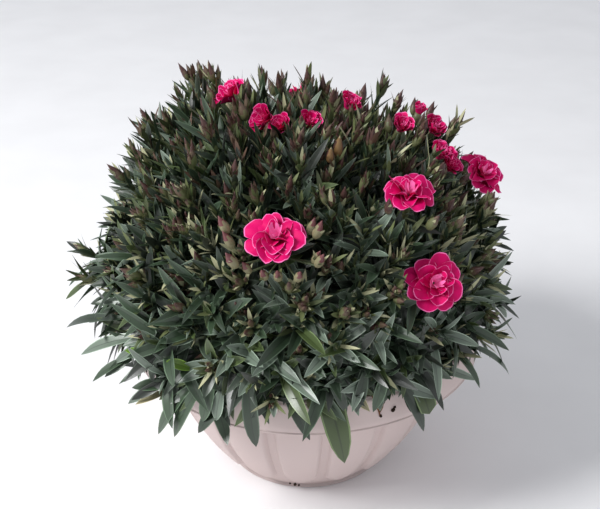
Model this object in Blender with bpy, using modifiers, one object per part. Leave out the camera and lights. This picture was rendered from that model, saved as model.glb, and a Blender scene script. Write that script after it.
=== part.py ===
"""A dense dome of dianthus in a ribbed plastic bowl.

The frame is in metres with +Z up and its origin at the centre of the bowl's flat underside. The
side that is seen first faces -Y. The plant grows from one woody crown in the soil: a bough runs
from the crown to each mass of foliage, and each mass keeps to its own cone of the dome.
"""

import math
import random

import bmesh
import bpy
from mathutils import Matrix, Vector

# Colours (linear) and roughness of the plain materials
BOWL_FINISH = ((0.56, 0.43, 0.41), 0.55)
COMPOST_FINISH = ((0.05, 0.032, 0.02), 0.95)
WOOD_FINISH = ((0.20, 0.17, 0.09), 0.8)
LEAF_FINISH = ((0.05, 0.10, 0.08), 0.6)

# Distances within which points are one, and under which an edge is only a sliver
WELD = 0.00001
SLIVER = 0.000002

# Bowl
POT_HEIGHT = 0.110
RIM_RADIUS = 0.115
RIM_BAND = 0.0245
RIM_LIP = 0.0045
EDGE = 0.0008
POT_WALL = 0.0030
BAND_SLOPE = 3 * POT_WALL
WALL_TOP_RADIUS = 0.0950
FOOT_RADIUS = 0.0560
WALL_BULGE = 1.8
WALL_STEPS = 4
FLOOR = 0.0030
POT_SIDES = 48
CHANNELS = 16
CHANNEL_WIDTH = 0.0050
CHANNEL_DEPTH = 0.0012
CHANNEL_REACH = 4 * CHANNEL_DEPTH
CHANNEL_FOOT = 0.0090
FIRST_CHANNEL = math.radians(7.5)

# Soil and crown
GAP = 0.0003
SOIL_TOP = 0.098
SOIL_RISE = 0.002
SOIL_SIDES = 24
# Where the soil's mound falls off: share of the rim's radius, share of the rise left there
SOIL_SHOULDER = (0.5, 0.6)
CROWN = Vector((-0.006, 0.0, 0.114))
CROWN_RADIUS = 0.0165
CROWN_SIDES = 20
CROWN_STEPS = 6
# Share of the way down from the knob's widest line to its foot where it starts to flare
CROWN_WAIST = 0.55
CROWN_FLARE = 1.08

# Dome that the shoots fill, measured from the crown
DOME_RADIUS = 0.135
DOME_HEIGHT = 0.150
DOME_DROP = 0.075
DOME_SQUARENESS = 2.6
OUTER_SHARE = 1.11
# Tufts: azimuth and elevation in degrees, share of extra reach, angular spread in degrees
TUFTS = (
    (-122.0, 60.0, 0.120, 19.0),
    (104.0, 50.0, 0.030, 15.0),
    (-88.0, 28.0, 0.030, 14.0),
    (170.0, 76.0, -0.060, 17.0),
    (-76.0, 0.0, 0.060, 18.0),
    (78.0, 5.0, 0.030, 16.0),
)

# Boughs and masses: name, how many in the ring, elevation, azimuth of the first
RINGS = (
    ("skirt", 8, math.radians(1.0), math.radians(4.0)),
    ("side", 6, math.radians(36.0), math.radians(-14.0)),
    ("upper", 3, math.radians(71.0), math.radians(0.0)),
)
BOUGH_END = 0.052
BOUGH_BASE_RADIUS = 0.0032
BOUGH_TIP_RADIUS = 0.0022
BOUGH_SIDES = 6
MASS_CLEARANCE = 0.0003
CORE_START = 0.0045
CORE_SHARE = 0.70
RIM_CORE_SHARE = 0.80
RIM_CORE_ELEVATION = math.radians(24.0)
CORE_MARGIN = 0.0012
CORE_FACETS = 3
STEM_SHARE = 0.85
CORE_SMOOTHING = math.radians(0.5)
CORE_WELD = 0.0010
RIM_CLEARANCE = 0.0012

# Shoots, leaves, buds and blooms
SHOOTS = 46
SHOOT_SEED = 23
LOWEST_SHOOT = math.radians(9.0)
RIM_SHOOTS = 20
RIM_ELEVATIONS = (math.radians(2.5), math.radians(6.5))
AZIMUTH_JITTER = 0.07
# Where a rim shoot falls in its equal share of the circle
RIM_PLACES = (0.3, 0.7)
TWIG_FORK = 0.45
TWIG_BASE_RADIUS = 0.0020
TWIG_TIP_RADIUS = 0.0011
TWIG_SIDES = 3
LEAF_WIDEST = 0.38
LEAF_THICKNESS = 0.026
LEAF_SIDES = 3
LEAF_ARCH = 0.10
LEAF_SINK = 0.0003
# Scales dealt to the length of a leaf pair, to its opening, and to a bud
LENGTH_SCALES = (0.9, 1.1)
OPENING_SCALES = (0.85, 1.1)
BUD_SCALES = (0.85, 1.1)
BUD_SINK = 0.0015
# Tries at placing a leaf: share of its length, share of its droop
LEAF_TRIES = ((1.0, 1.0), (1.0, 0.45), (0.85, 0.0), (0.62, 0.0))
# Pairs along a shoot: share of its free length below its tip, leaf length, leaf width, opening
LEAF_PAIRS = (
    (0.98, 0.046, 0.0135, math.radians(72.0)),
    (0.70, 0.042, 0.0125, math.radians(50.0)),
    (0.42, 0.030, 0.0095, math.radians(28.0)),
)
# The same on a shoot that overhangs the rim, whose last pair hangs outside the bowl
RIM_PAIRS = (
    (0.85, 0.042, 0.0135, math.radians(70.0)),
    (0.45, 0.040, 0.0130, math.radians(58.0)),
    (0.06, 0.034, 0.0120, math.radians(46.0)),
)
TIP_SHARES = (0.86, 0.97)
# How far a shoot is drawn to the middle of its mass, tried in turn until its twig fits
SHOOT_PULLS = (0.04, 0.12, 0.22)
BLOOM_SHARE = 0.965
SKIRT_DROOP = 0.95
DOME_DROOP = 0.25
RIM_DROOP = 1.05
# Leaves hang more and grow longer the lower they stand under this elevation
SKIRT_ELEVATION = math.radians(38.0)
SKIRT_GROWTH = 0.22
BUD_LENGTH = 0.021
BUD_WIDTH = 0.0100
BUD_WIDEST = 0.42
BUD_SIDES = 4
BUD_LOWEST = math.radians(14.0)
PETALS = 5
PETAL_NOTCH = 0.80
WHORL_DEPTH = 0.34
# Share of a whorl's depth at which its rim stands, and that lies behind the shoot's tip
WHORL_RIM = 0.72
WHORL_SEAT = 0.25
# The inner whorl: its size against the outer one, and how far it is raised
INNER_WHORL = 0.64
INNER_LIFT = 0.21
CALYX_LENGTH = 0.016
CALYX_RADIUS = 0.0050
CALYX_OVERLAP = 1.3
# A point of a unit ball this near its equator is on it; a cross product this short is no guide
EQUATOR = 0.1
# Blooms: azimuth, elevation of the place, azimuth, elevation that the face looks to (degrees),
# and diameter (metres)
BLOOMS = (
    (-6.0, 42.0, -4.0, 34.0, 0.040),
    (39.0, 48.0, 20.0, 62.0, 0.037),
    (38.0, 27.5, 14.0, 27.0, 0.040),
    (88.0, 37.0, 62.0, 50.0, 0.036),
    (-101.0, 74.0, -60.0, 62.0, 0.034),
    (-27.0, 72.0, -20.0, 66.0, 0.031),
    (0.0, 79.0, 15.0, 66.0, 0.034),
    (110.0, 76.0, 60.0, 74.0, 0.026),
    (84.0, 62.0, 50.0, 62.0, 0.028),
    (66.0, 49.0, 30.0, 56.0, 0.029),
    (152.0, 38.0, 160.0, 40.0, 0.038),
    (-150.0, 30.0, -158.0, 36.0, 0.039),
    (-150.0, 66.0, -165.0, 60.0, 0.036),
)


def material(name, colour, roughness):
    """A Principled material with one plain colour."""
    finish = bpy.data.materials.new(name)
    finish.use_nodes = True
    shader = finish.node_tree.nodes["Principled BSDF"]
    shader.inputs["Base Color"].default_value = (*colour, 1.0)
    shader.inputs["Roughness"].default_value = roughness
    shader.inputs["Metallic"].default_value = 0.0
    finish.diffuse_color = (*colour, 1.0)
    return finish


def collection(name):
    """A new collection in the scene."""
    group = bpy.data.collections.new(name)
    bpy.context.scene.collection.children.link(group)
    return group


def add_object(name, mesh, group, finish=None):
    """An object of the mesh in the collection."""
    piece = bpy.data.objects.new(name, mesh)
    if finish:
        mesh.materials.clear()
        mesh.materials.append(finish)
    group.objects.link(piece)
    return piece


def mesh_of(bm, name):
    """A mesh made from the bmesh, which is freed."""
    mesh = bpy.data.meshes.new(name)
    bm.to_mesh(mesh)
    bm.free()
    return mesh


def bearing(azimuth, elevation):
    """The unit vector at an azimuth from the front, to the right, and an elevation."""
    return Vector((
        math.cos(elevation) * math.sin(azimuth),
        -math.cos(elevation) * math.cos(azimuth),
        math.sin(elevation),
    ))


# ---------------------------------------------------------------- bowl and soil

def wall_radius(height):
    """Outer radius of the bowl under the rim band, bulged between its foot and the band."""
    share = height / (POT_HEIGHT - RIM_BAND)
    swell = 1.0 - (1.0 - share) ** WALL_BULGE
    return FOOT_RADIUS + (WALL_TOP_RADIUS - FOOT_RADIUS) * swell


def wall_heights(low, high, steps):
    """Evenly spaced heights from high down to low."""
    return [high + (low - high) * step / steps for step in range(steps + 1)]


def turned(name, profile, sides, group, finish):
    """A solid turned about Z from (radius, height) points that run from axis to axis."""
    mesh = bpy.data.meshes.new(name)
    points = [(radius, 0.0, height) for radius, height in profile]
    edges = [(index, index + 1) for index in range(len(points) - 1)]
    mesh.from_pydata(points, edges, [])
    piece = add_object(name, mesh, group, finish)
    screw = piece.modifiers.new("Turn", "SCREW")
    screw.steps = sides
    screw.render_steps = sides
    screw.use_merge_vertices = True
    screw.merge_threshold = WELD
    return piece


def flat_outline(name, points, thickness):
    """A mesh cut from flat (x, y) points, centred on its own XY plane."""
    curve = bpy.data.curves.new(name, "CURVE")
    curve.dimensions = "2D"
    curve.fill_mode = "BOTH"
    curve.extrude = thickness / 2
    spline = curve.splines.new("POLY")
    spline.points.add(len(points) - 1)
    for point, (x, y) in zip(spline.points, points):
        point.co = (x, y, 0.0, 1.0)
    spline.use_cyclic_u = True
    shape = bpy.data.objects.new(name, curve)
    bpy.context.scene.collection.objects.link(shape)
    depsgraph = bpy.context.evaluated_depsgraph_get()
    mesh = bpy.data.meshes.new_from_object(shape.evaluated_get(depsgraph))
    bpy.data.objects.remove(shape)
    bm = bmesh.new()
    bm.from_mesh(mesh)
    bmesh.ops.remove_doubles(bm, verts=bm.verts, dist=WELD)
    bmesh.ops.recalc_face_normals(bm, faces=bm.faces)
    bm.to_mesh(mesh)
    bm.free()
    return mesh


def channel_mesh():
    """The cutter of one channel: the wall's own line set in by the depth, and open outwards."""
    heights = wall_heights(CHANNEL_FOOT, POT_HEIGHT - RIM_BAND - EDGE, WALL_STEPS)
    inner = [(wall_radius(height) - CHANNEL_DEPTH, height) for height in heights]
    outer = [(radius + CHANNEL_REACH, height) for radius, height in reversed(inner)]
    return flat_outline("channel", inner + outer, CHANNEL_WIDTH)


def make_pot(group, cutters):
    """The bowl: a turned shell with a smooth rim band and a channel between each two panels."""
    band_foot = POT_HEIGHT - RIM_BAND
    inner = [(0.0, FLOOR)]
    for height in reversed(wall_heights(FLOOR, band_foot, WALL_STEPS)):
        inner.append((wall_radius(height) - POT_WALL, height))
    inner.append((RIM_RADIUS - RIM_LIP, band_foot + BAND_SLOPE))
    inner.append((RIM_RADIUS - RIM_LIP, POT_HEIGHT - EDGE))
    rim = [
        (RIM_RADIUS - RIM_LIP + EDGE, POT_HEIGHT),
        (RIM_RADIUS - EDGE, POT_HEIGHT),
        (RIM_RADIUS, POT_HEIGHT - EDGE),
        (RIM_RADIUS - EDGE, band_foot),
    ]
    outer = [(wall_radius(height), height) for height in wall_heights(EDGE, band_foot, WALL_STEPS)]
    foot = [(FOOT_RADIUS - EDGE, 0.0), (0.0, 0.0)]
    finish = material("bowl_plastic", *BOWL_FINISH)
    pot = turned("pot", inner + rim + outer + foot, POT_SIDES, group, finish)
    shape = channel_mesh()
    for index in range(CHANNELS):
        cutter = add_object(f"channel_{index + 1}", shape, cutters)
        cutter.rotation_euler = (math.pi / 2, 0.0, FIRST_CHANNEL + math.tau * index / CHANNELS)
        cutter.rotation_euler.z -= math.pi / 2
        cutter.hide_render = True
        cutter.display_type = "WIRE"
    cut = pot.modifiers.new("Channels", "BOOLEAN")
    cut.operand_type = "COLLECTION"
    cut.collection = cutters
    cut.operation = "DIFFERENCE"
    cut.solver = "EXACT"


def make_soil(group):
    """The compost: it fills the bowl to just under the rim and keeps clear of the wall."""
    band_foot = POT_HEIGHT - RIM_BAND
    inset = POT_WALL + 2 * GAP
    shoulder, left = SOIL_SHOULDER
    top = [
        (0.0, SOIL_TOP + SOIL_RISE),
        (RIM_RADIUS * shoulder, SOIL_TOP + SOIL_RISE * left),
    ]
    side = [
        (RIM_RADIUS - RIM_LIP - GAP, SOIL_TOP),
        (RIM_RADIUS - RIM_LIP - GAP, band_foot + BAND_SLOPE + GAP),
    ]
    low = FLOOR + GAP
    heights = wall_heights(low, band_foot, WALL_STEPS)
    wall = [(wall_radius(height) - inset, height) for height in heights]
    finish = material("compost", *COMPOST_FINISH)
    turned("soil", top + side + wall + [(0.0, low)], SOIL_SIDES, group, finish)


def make_crown(group, finish):
    """The woody crown: a rounded knob on a flared, flat-cut foot that sits on the soil."""
    foot_height = SOIL_TOP + SOIL_RISE + GAP - CROWN.z
    profile = []
    lowest = math.asin(foot_height / CROWN_RADIUS) * CROWN_WAIST
    for step in range(CROWN_STEPS + 1):
        angle = math.pi / 2 + (lowest - math.pi / 2) * step / CROWN_STEPS
        profile.append((CROWN_RADIUS * math.cos(angle), CROWN_RADIUS * math.sin(angle)))
    profile[0] = (0.0, CROWN_RADIUS)
    profile.append((CROWN_RADIUS * CROWN_FLARE, foot_height))
    profile.append((0.0, foot_height))
    crown = turned("crown_stem", profile, CROWN_SIDES, group, finish)
    crown.location = CROWN


# ---------------------------------------------------------------- the dome and its cells

def reach(direction):
    """Distance from the crown to the dome's outline: a squarish ellipsoid with a few tufts."""
    height = DOME_HEIGHT if direction.z > 0.0 else DOME_DROP
    across = math.hypot(direction.x, direction.y) / DOME_RADIUS
    along = abs(direction.z) / height
    plain = (across ** DOME_SQUARENESS + along ** DOME_SQUARENESS) ** (-1.0 / DOME_SQUARENESS)
    swell = 1.0
    for azimuth, elevation, extra, spread in TUFTS:
        tuft = bearing(math.radians(azimuth), math.radians(elevation))
        away = math.degrees(direction.angle(tuft)) / spread
        swell += extra * math.exp(-0.5 * away * away)
    return plain * swell


def mass_axes():
    """The name and axis of each mass, ring by ring from the rim to the top."""
    axes = []
    for ring, count, elevation, first in RINGS:
        for index in range(count):
            azimuth = first + math.tau * index / count
            axes.append((f"{ring}_{index + 1}", bearing(azimuth, elevation)))
    return axes


def clear_of_pot(point):
    """Whether a point lies over the bowl's rim or outside its outer face."""
    if point.z > POT_HEIGHT + RIM_CLEARANCE:
        return True
    return math.hypot(point.x, point.y) > RIM_RADIUS + RIM_CLEARANCE


def core_reach(direction):
    """Distance from the crown to the dense heart's surface, nearer the outline at the rim."""
    low = max(0.0, 1.0 - math.asin(direction.z) / RIM_CORE_ELEVATION)
    share = CORE_SHARE + (RIM_CORE_SHARE - CORE_SHARE) * min(1.0, low)
    return reach(direction) * share


class Cell:
    """The cone of the dome that one mass keeps to, past the tip of its bough."""

    def __init__(self, axis, axes):
        self.axis = axis
        self.sides = [(axis - other).normalized() for other in axes if other != axis]

    def nearest_side(self, point):
        """The inward direction of the side of the cone that is nearest to a point."""
        away = point - CROWN
        return min(self.sides, key=away.dot)

    def margin(self, point):
        """Distance from a point to the nearest side of the cone."""
        return (point - CROWN).dot(self.nearest_side(point))

    def holds(self, points):
        """Whether every point is in the cone and the dome, past the bough and clear of the bowl."""
        for point in points:
            away = point - CROWN
            if self.margin(point) < MASS_CLEARANCE:
                return False
            if away.dot(self.axis) < BOUGH_END + CORE_START:
                return False
            if away.length > reach(away.normalized()) * OUTER_SHARE:
                return False
            if not clear_of_pot(point):
                return False
        return True


def along_line(points, steps=4):
    """The points with others spread evenly between them."""
    spread = []
    for start, end in zip(points, points[1:]):
        spread += [start.lerp(end, step / steps) for step in range(steps)]
    return spread + [points[-1]]


# ---------------------------------------------------------------- plant pieces

def limb_mesh(start, end, start_radius, end_radius, sides):
    """A straight tapering limb with flat ends."""
    length = (end - start).length
    bm = bmesh.new()
    bmesh.ops.create_cone(bm, cap_ends=True, segments=sides, radius1=start_radius,
                          radius2=end_radius, depth=length)
    turn = (end - start).to_track_quat("Z", "Y").to_matrix().to_4x4()
    bmesh.ops.transform(bm, matrix=Matrix.Translation((start + end) / 2) @ turn, verts=bm.verts)
    return mesh_of(bm, "limb")


def spindle_mesh(name, widest, thickness, arch, sides):
    """A closed spindle from z = 0 to z = 1, one wide across X, widest at the given share.

    Its thickness lies along Y, and one corner of its waist points to -Y, as a leaf's keel does.
    Arch lifts its waist along Y, as a leaf bends back.
    """
    bm = bmesh.new()
    bmesh.ops.create_uvsphere(bm, u_segments=sides, v_segments=2, radius=0.5)
    waist = sorted((vert for vert in bm.verts if abs(vert.co.z) < EQUATOR),
                   key=lambda vert: math.atan2(vert.co.y, vert.co.x))
    for vert in bm.verts:
        vert.co.z += 0.5
    half_width = max(abs(math.sin(math.tau * index / sides)) for index in range(sides))
    for index, vert in enumerate(waist):
        turn = math.tau * index / sides
        vert.co = (0.5 * math.sin(turn) / half_width, arch - 0.5 * thickness * math.cos(turn), widest)
    return mesh_of(bm, name)


def frame_matrix(root, along, normal, length, width, depth):
    """The matrix that sets a spindle at its root, along a direction, with its face to normal."""
    z_axis = along.normalized()
    x_axis = normal.cross(z_axis).normalized()
    y_axis = z_axis.cross(x_axis)
    rows = Matrix((x_axis * width, y_axis * depth, z_axis * length)).transposed()
    return Matrix.Translation(root) @ rows.to_4x4()


class Grower:
    """Fuses the pieces of one mass: a core, its twigs, and the leaves and blossom on them."""

    def __init__(self, cell, loose, templates):
        self.cell = cell
        self.loose = loose
        self.templates = templates

    def add(self, name, matrix):
        """Set a template at a matrix, if all of it keeps to the cell."""
        mesh = self.templates[name]
        points = [matrix @ vert.co for vert in mesh.vertices]
        tip = max(mesh.vertices, key=lambda vert: vert.co.z).co
        root = min(mesh.vertices, key=lambda vert: vert.co.z).co
        middle = sum((vert.co for vert in mesh.vertices), Vector()) / len(mesh.vertices)
        line = along_line([matrix @ root, matrix @ middle, matrix @ tip])
        if not self.cell.holds(points + line):
            return False
        piece = add_object(name, mesh, self.loose)
        piece.matrix_world = matrix
        return True

    def limb(self, start, end, start_radius, end_radius):
        """A three-sided twig, if it keeps to the cell."""
        mesh = limb_mesh(start, end, start_radius, end_radius, TWIG_SIDES)
        points = [vert.co.copy() for vert in mesh.vertices]
        if not self.cell.holds(points + along_line([start, end])):
            bpy.data.meshes.remove(mesh)
            return False
        add_object("twig", mesh, self.loose)
        return True

    def leaf_pair(self, root, axis, side, length, width, opening, droop):
        """Two opposite leaves whose faces look up the shoot."""
        for sign in (1.0, -1.0):
            spread = axis * math.cos(opening) + side * (sign * math.sin(opening))
            for shrink, bend in LEAF_TRIES:
                fall = Vector((0.0, 0.0, -droop * bend * math.sin(opening)))
                along = (spread + fall).normalized()
                normal = (axis - along * axis.dot(along)).normalized()
                seat = root - along * LEAF_SINK
                size = length * shrink
                if self.add("leaf", frame_matrix(seat, along, normal, size, width * shrink, size)):
                    break

    def bud(self, tip, axis, scale):
        """One pointed bud on the tip of a shoot, for the cluster that grows there."""
        matrix = frame_matrix(tip - axis * BUD_SINK, axis, across(axis), BUD_LENGTH * scale,
                              BUD_WIDTH * scale, BUD_WIDTH * scale)
        return self.add("bud", matrix)

    def bloom(self, tip, face, diameter):
        """An open double flower: two whorls of petals, the inner one raised, on a calyx."""
        self.add("bud", frame_matrix(tip - face * CALYX_LENGTH, face, across(face),
                                     CALYX_LENGTH * CALYX_OVERLAP, CALYX_RADIUS * 2, CALYX_RADIUS * 2))
        side = across(face)
        for share, lift, turn in ((1.0, 0.0, 0.0), (INNER_WHORL, INNER_LIFT, math.pi / PETALS)):
            normal = Matrix.Rotation(turn, 3, face) @ side
            size = diameter * share
            base = tip + face * (lift - WHORL_SEAT) * WHORL_DEPTH * diameter
            self.add("whorl", frame_matrix(base, face, normal, size * WHORL_DEPTH, size, size))


def across(direction):
    """A unit vector at right angles to a direction, level unless the direction is upright."""
    level = Vector((0.0, 0.0, 1.0)).cross(direction)
    if level.length < EQUATOR:
        level = Vector((1.0, 0.0, 0.0)).cross(direction)
    return level.normalized()


def whorl_mesh():
    """A flat double cone from z = 0 to z = 1 and one wide, its rim notched between petals."""
    bm = bmesh.new()
    bmesh.ops.create_uvsphere(bm, u_segments=2 * PETALS, v_segments=2, radius=0.5)
    rim = [vert for vert in bm.verts if abs(vert.co.z) < EQUATOR]
    for vert in rim:
        turn = math.atan2(vert.co.y, vert.co.x) * PETALS / math.pi
        if round(turn) % 2:
            vert.co *= PETAL_NOTCH
    for vert in bm.verts:
        vert.co.z = WHORL_RIM if vert in rim else vert.co.z + 0.5
    return mesh_of(bm, "whorl")


def make_templates():
    """The leaf, bud and whorl of petals that every shoot shares."""
    return {
        "leaf": spindle_mesh("leaf", LEAF_WIDEST, LEAF_THICKNESS, LEAF_ARCH, LEAF_SIDES),
        "bud": spindle_mesh("bud", BUD_WIDEST, 1.0, 0.0, BUD_SIDES),
        "whorl": whorl_mesh(),
    }


# ---------------------------------------------------------------- masses

def core_mesh(cell, name):
    """The dense heart of a mass: the dome drawn in, cut down to the cell by planes."""
    bm = bmesh.new()
    bmesh.ops.create_icosphere(bm, subdivisions=CORE_FACETS, radius=1.0)
    for vert in bm.verts:
        direction = vert.co.normalized()
        vert.co = CROWN + direction * core_reach(direction)
    cuts = [(CROWN + side * CORE_MARGIN, side) for side in cell.sides]
    cuts.append((CROWN + cell.axis * (BOUGH_END + CORE_START), cell.axis))
    cuts.append((Vector((0.0, 0.0, POT_HEIGHT + 2 * RIM_CLEARANCE)), Vector((0.0, 0.0, 1.0))))
    for point, inward in cuts:
        geometry = bm.verts[:] + bm.edges[:] + bm.faces[:]
        bmesh.ops.bisect_plane(bm, geom=geometry, dist=WELD, plane_co=point,
                               plane_no=-inward, clear_outer=True)
        rim = [edge for edge in bm.edges if edge.is_boundary]
        bmesh.ops.holes_fill(bm, edges=rim)
    bmesh.ops.dissolve_limit(bm, angle_limit=CORE_SMOOTHING, verts=bm.verts, edges=bm.edges)
    bmesh.ops.remove_doubles(bm, verts=bm.verts, dist=CORE_WELD)
    bmesh.ops.triangulate(bm, faces=bm.faces)
    bmesh.ops.recalc_face_normals(bm, faces=bm.faces)
    return mesh_of(bm, name)


def shoot_directions():
    """Evenly spread directions of the shoots over the dome, by the golden angle, with jitter."""
    rng = random.Random(SHOOT_SEED)
    golden = math.pi * (3.0 - math.sqrt(5.0))
    low = math.sin(LOWEST_SHOOT)
    spread = []
    for index in range(SHOOTS):
        height = low + (1.0 - low) * (index + 0.5) / SHOOTS
        azimuth = index * golden + rng.uniform(-AZIMUTH_JITTER, AZIMUTH_JITTER)
        spread.append(bearing(azimuth, math.asin(height)))
    for index in range(RIM_SHOOTS):
        azimuth = math.tau * (index + rng.uniform(*RIM_PLACES)) / RIM_SHOOTS
        spread.append(bearing(azimuth, rng.uniform(*RIM_ELEVATIONS)))
    return spread


def nearest_axis(direction, axes):
    """Which mass a direction falls in."""
    return max(range(len(axes)), key=lambda index: direction.dot(axes[index]))


def grow_shoot(grower, direction, rng, head=None):
    """One shoot from a fork inside the core to the outline, with leaf pairs and a bud or bloom."""
    axis = grower.cell.axis
    length = reach(direction)
    tip_share = BLOOM_SHARE if head else rng.uniform(*TIP_SHARES)
    tip = CROWN + direction * length * tip_share
    free = length * tip_share - core_reach(direction)
    fork = CROWN + axis * max(length * TWIG_FORK, BOUGH_END + 2 * CORE_START)
    if not grower.limb(fork, tip, TWIG_BASE_RADIUS, TWIG_TIP_RADIUS):
        return False
    shoot = (tip - fork).normalized()
    elevation = math.asin(max(-1.0, min(1.0, direction.z)))
    low_share = max(0.0, 1.0 - elevation / SKIRT_ELEVATION)
    droop = DOME_DROOP + (SKIRT_DROOP - DOME_DROOP) * low_share
    side = shoot.cross(grower.cell.nearest_side(tip)).normalized()
    pairs = LEAF_PAIRS[1:] if head else LEAF_PAIRS
    if elevation < LOWEST_SHOOT:
        pairs = RIM_PAIRS
        droop = RIM_DROOP
    for order, (below, size, width, opening) in enumerate(pairs):
        root = tip - shoot * free * below
        turned_side = Matrix.Rotation(order * math.pi / 2, 3, shoot) @ side
        scale = rng.uniform(*LENGTH_SCALES) * (1.0 + SKIRT_GROWTH * low_share)
        grower.leaf_pair(root, shoot, turned_side, size * scale, width * scale,
                         opening * rng.uniform(*OPENING_SCALES), droop)
    if head:
        face, diameter = head
        grower.bloom(tip, face, diameter)
    elif elevation > BUD_LOWEST:
        grower.bud(tip, shoot, rng.uniform(*BUD_SCALES))
    return True


def largest_body(mesh):
    """Keep only the biggest closed body of a mesh: hollows fill up and loose scraps go."""
    bm = bmesh.new()
    bm.from_mesh(mesh)
    bmesh.ops.triangulate(bm, faces=bm.faces)
    bm.verts.ensure_lookup_table()
    seen = set()
    bodies = []
    for start in bm.verts:
        if start in seen:
            continue
        body = {start}
        edge = [start]
        while edge:
            vert = edge.pop()
            for link in vert.link_edges:
                other = link.other_vert(vert)
                if other not in body:
                    body.add(other)
                    edge.append(other)
        seen |= body
        bodies.append(body)
    bodies.sort(key=len, reverse=True)
    scraps = [vert for body in bodies[1:] for vert in body]
    bmesh.ops.delete(bm, geom=scraps, context="VERTS")
    bmesh.ops.dissolve_degenerate(bm, edges=bm.edges, dist=SLIVER)
    bmesh.ops.triangulate(bm, faces=bm.faces)
    bm.to_mesh(mesh)
    bm.free()


def fuse(core, loose):
    """Union the core with everything in the collection, and remove what was joined."""
    union = core.modifiers.new("Join", "BOOLEAN")
    union.operation = "UNION"
    union.operand_type = "COLLECTION"
    union.collection = loose
    union.solver = "MANIFOLD"
    depsgraph = bpy.context.evaluated_depsgraph_get()
    joined = bpy.data.meshes.new_from_object(core.evaluated_get(depsgraph))
    core.modifiers.clear()
    core.data = joined
    for piece in list(loose.objects):
        bpy.data.objects.remove(piece)
    bpy.data.collections.remove(loose)
    largest_body(joined)


def make_mass(index, name, axes, shoots, group, templates, finish):
    """One mass of foliage on its own stem, which meets the bough's tip end to end."""
    axis = axes[index]
    cell = Cell(axis, axes)
    loose = collection(f"loose_{name}")
    core = add_object(f"foliage_{name}", core_mesh(cell, "core"), group)
    start = CROWN + axis * (BOUGH_END + GAP)
    end = CROWN + axis * core_reach(axis) * STEM_SHARE
    stem = limb_mesh(start, end, BOUGH_TIP_RADIUS, TWIG_BASE_RADIUS, BOUGH_SIDES)
    add_object("stem", stem, loose)
    grower = Grower(cell, loose, templates)
    rng = random.Random(SHOOT_SEED + index)
    for direction in shoots:
        if nearest_axis(direction, axes) == index:
            kept = (direction.lerp(axis, pull).normalized() for pull in SHOOT_PULLS)
            any(grow_shoot(grower, nearer, rng) for nearer in kept)
    for place_azimuth, place_elevation, azimuth, elevation, diameter in BLOOMS:
        place = bearing(math.radians(place_azimuth), math.radians(place_elevation))
        if nearest_axis(place, axes) == index:
            face = bearing(math.radians(azimuth), math.radians(elevation))
            grow_shoot(grower, place, rng, (face, diameter))
    fuse(core, loose)
    core.data.materials.clear()
    core.data.materials.append(finish)


def make_boughs(named_axes, group, finish):
    """A tapering bough from the crown's surface to each mass."""
    for name, axis in named_axes:
        start = CROWN + axis * (CROWN_RADIUS + GAP)
        end = CROWN + axis * BOUGH_END
        mesh = limb_mesh(start, end, BOUGH_BASE_RADIUS, BOUGH_TIP_RADIUS, BOUGH_SIDES)
        add_object(f"bough_{name}", mesh, group, finish)


def main():
    """Build the potted plant."""
    for old in list(bpy.data.objects):
        bpy.data.objects.remove(old)
    group = collection("potted_dianthus")
    cutters = collection("cutters")
    make_pot(group, cutters)
    make_soil(group)
    wood = material("wood", *WOOD_FINISH)
    leaf = material("foliage", *LEAF_FINISH)
    make_crown(group, wood)
    named_axes = mass_axes()
    make_boughs(named_axes, group, wood)
    axes = [axis for _, axis in named_axes]
    shoots = shoot_directions()
    templates = make_templates()
    for index, (name, _) in enumerate(named_axes):
        make_mass(index, name, axes, shoots, group, templates, leaf)


main()
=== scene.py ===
"""Looks of a potted dianthus: a dense mound of leaves, buds and double blooms in a panelled bowl.

Laid out as an add-on and run as a script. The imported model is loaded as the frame, and each
operator then makes one kind of piece around it. Lengths are in metres, with +Z up, and the side
that is seen first faces -Y. Azimuths run from the front to the right.
"""

import math

import bpy
import numpy as np
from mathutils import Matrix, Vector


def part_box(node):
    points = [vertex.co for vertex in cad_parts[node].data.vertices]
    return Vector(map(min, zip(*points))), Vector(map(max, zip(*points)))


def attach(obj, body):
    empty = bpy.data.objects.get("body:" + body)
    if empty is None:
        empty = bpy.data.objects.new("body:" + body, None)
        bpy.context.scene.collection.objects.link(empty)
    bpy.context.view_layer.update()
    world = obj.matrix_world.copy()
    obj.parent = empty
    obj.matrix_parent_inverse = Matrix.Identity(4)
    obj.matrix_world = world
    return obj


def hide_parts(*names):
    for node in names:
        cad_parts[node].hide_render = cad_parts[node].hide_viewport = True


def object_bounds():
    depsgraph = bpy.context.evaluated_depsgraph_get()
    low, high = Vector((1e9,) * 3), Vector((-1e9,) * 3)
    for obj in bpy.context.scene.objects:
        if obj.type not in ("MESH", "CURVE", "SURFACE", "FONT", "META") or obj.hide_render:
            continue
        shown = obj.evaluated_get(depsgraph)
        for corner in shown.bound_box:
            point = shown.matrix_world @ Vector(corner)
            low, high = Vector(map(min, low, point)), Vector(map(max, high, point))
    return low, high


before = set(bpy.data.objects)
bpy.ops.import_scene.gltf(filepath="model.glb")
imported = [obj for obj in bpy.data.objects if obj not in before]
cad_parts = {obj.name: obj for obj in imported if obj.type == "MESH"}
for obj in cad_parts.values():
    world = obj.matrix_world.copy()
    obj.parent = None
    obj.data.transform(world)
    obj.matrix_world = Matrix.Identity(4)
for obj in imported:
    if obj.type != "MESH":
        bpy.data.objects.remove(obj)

bl_info = {
    "name": "Potted Dianthus",
    "version": (1, 0, 0),
    "blender": (4, 5, 0),
    "location": "View3D > Sidebar > Dianthus",
    "description": "Makes the bowl, stems, leaves, buds and blooms of a potted dianthus",
    "category": "Add Mesh",
}

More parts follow.
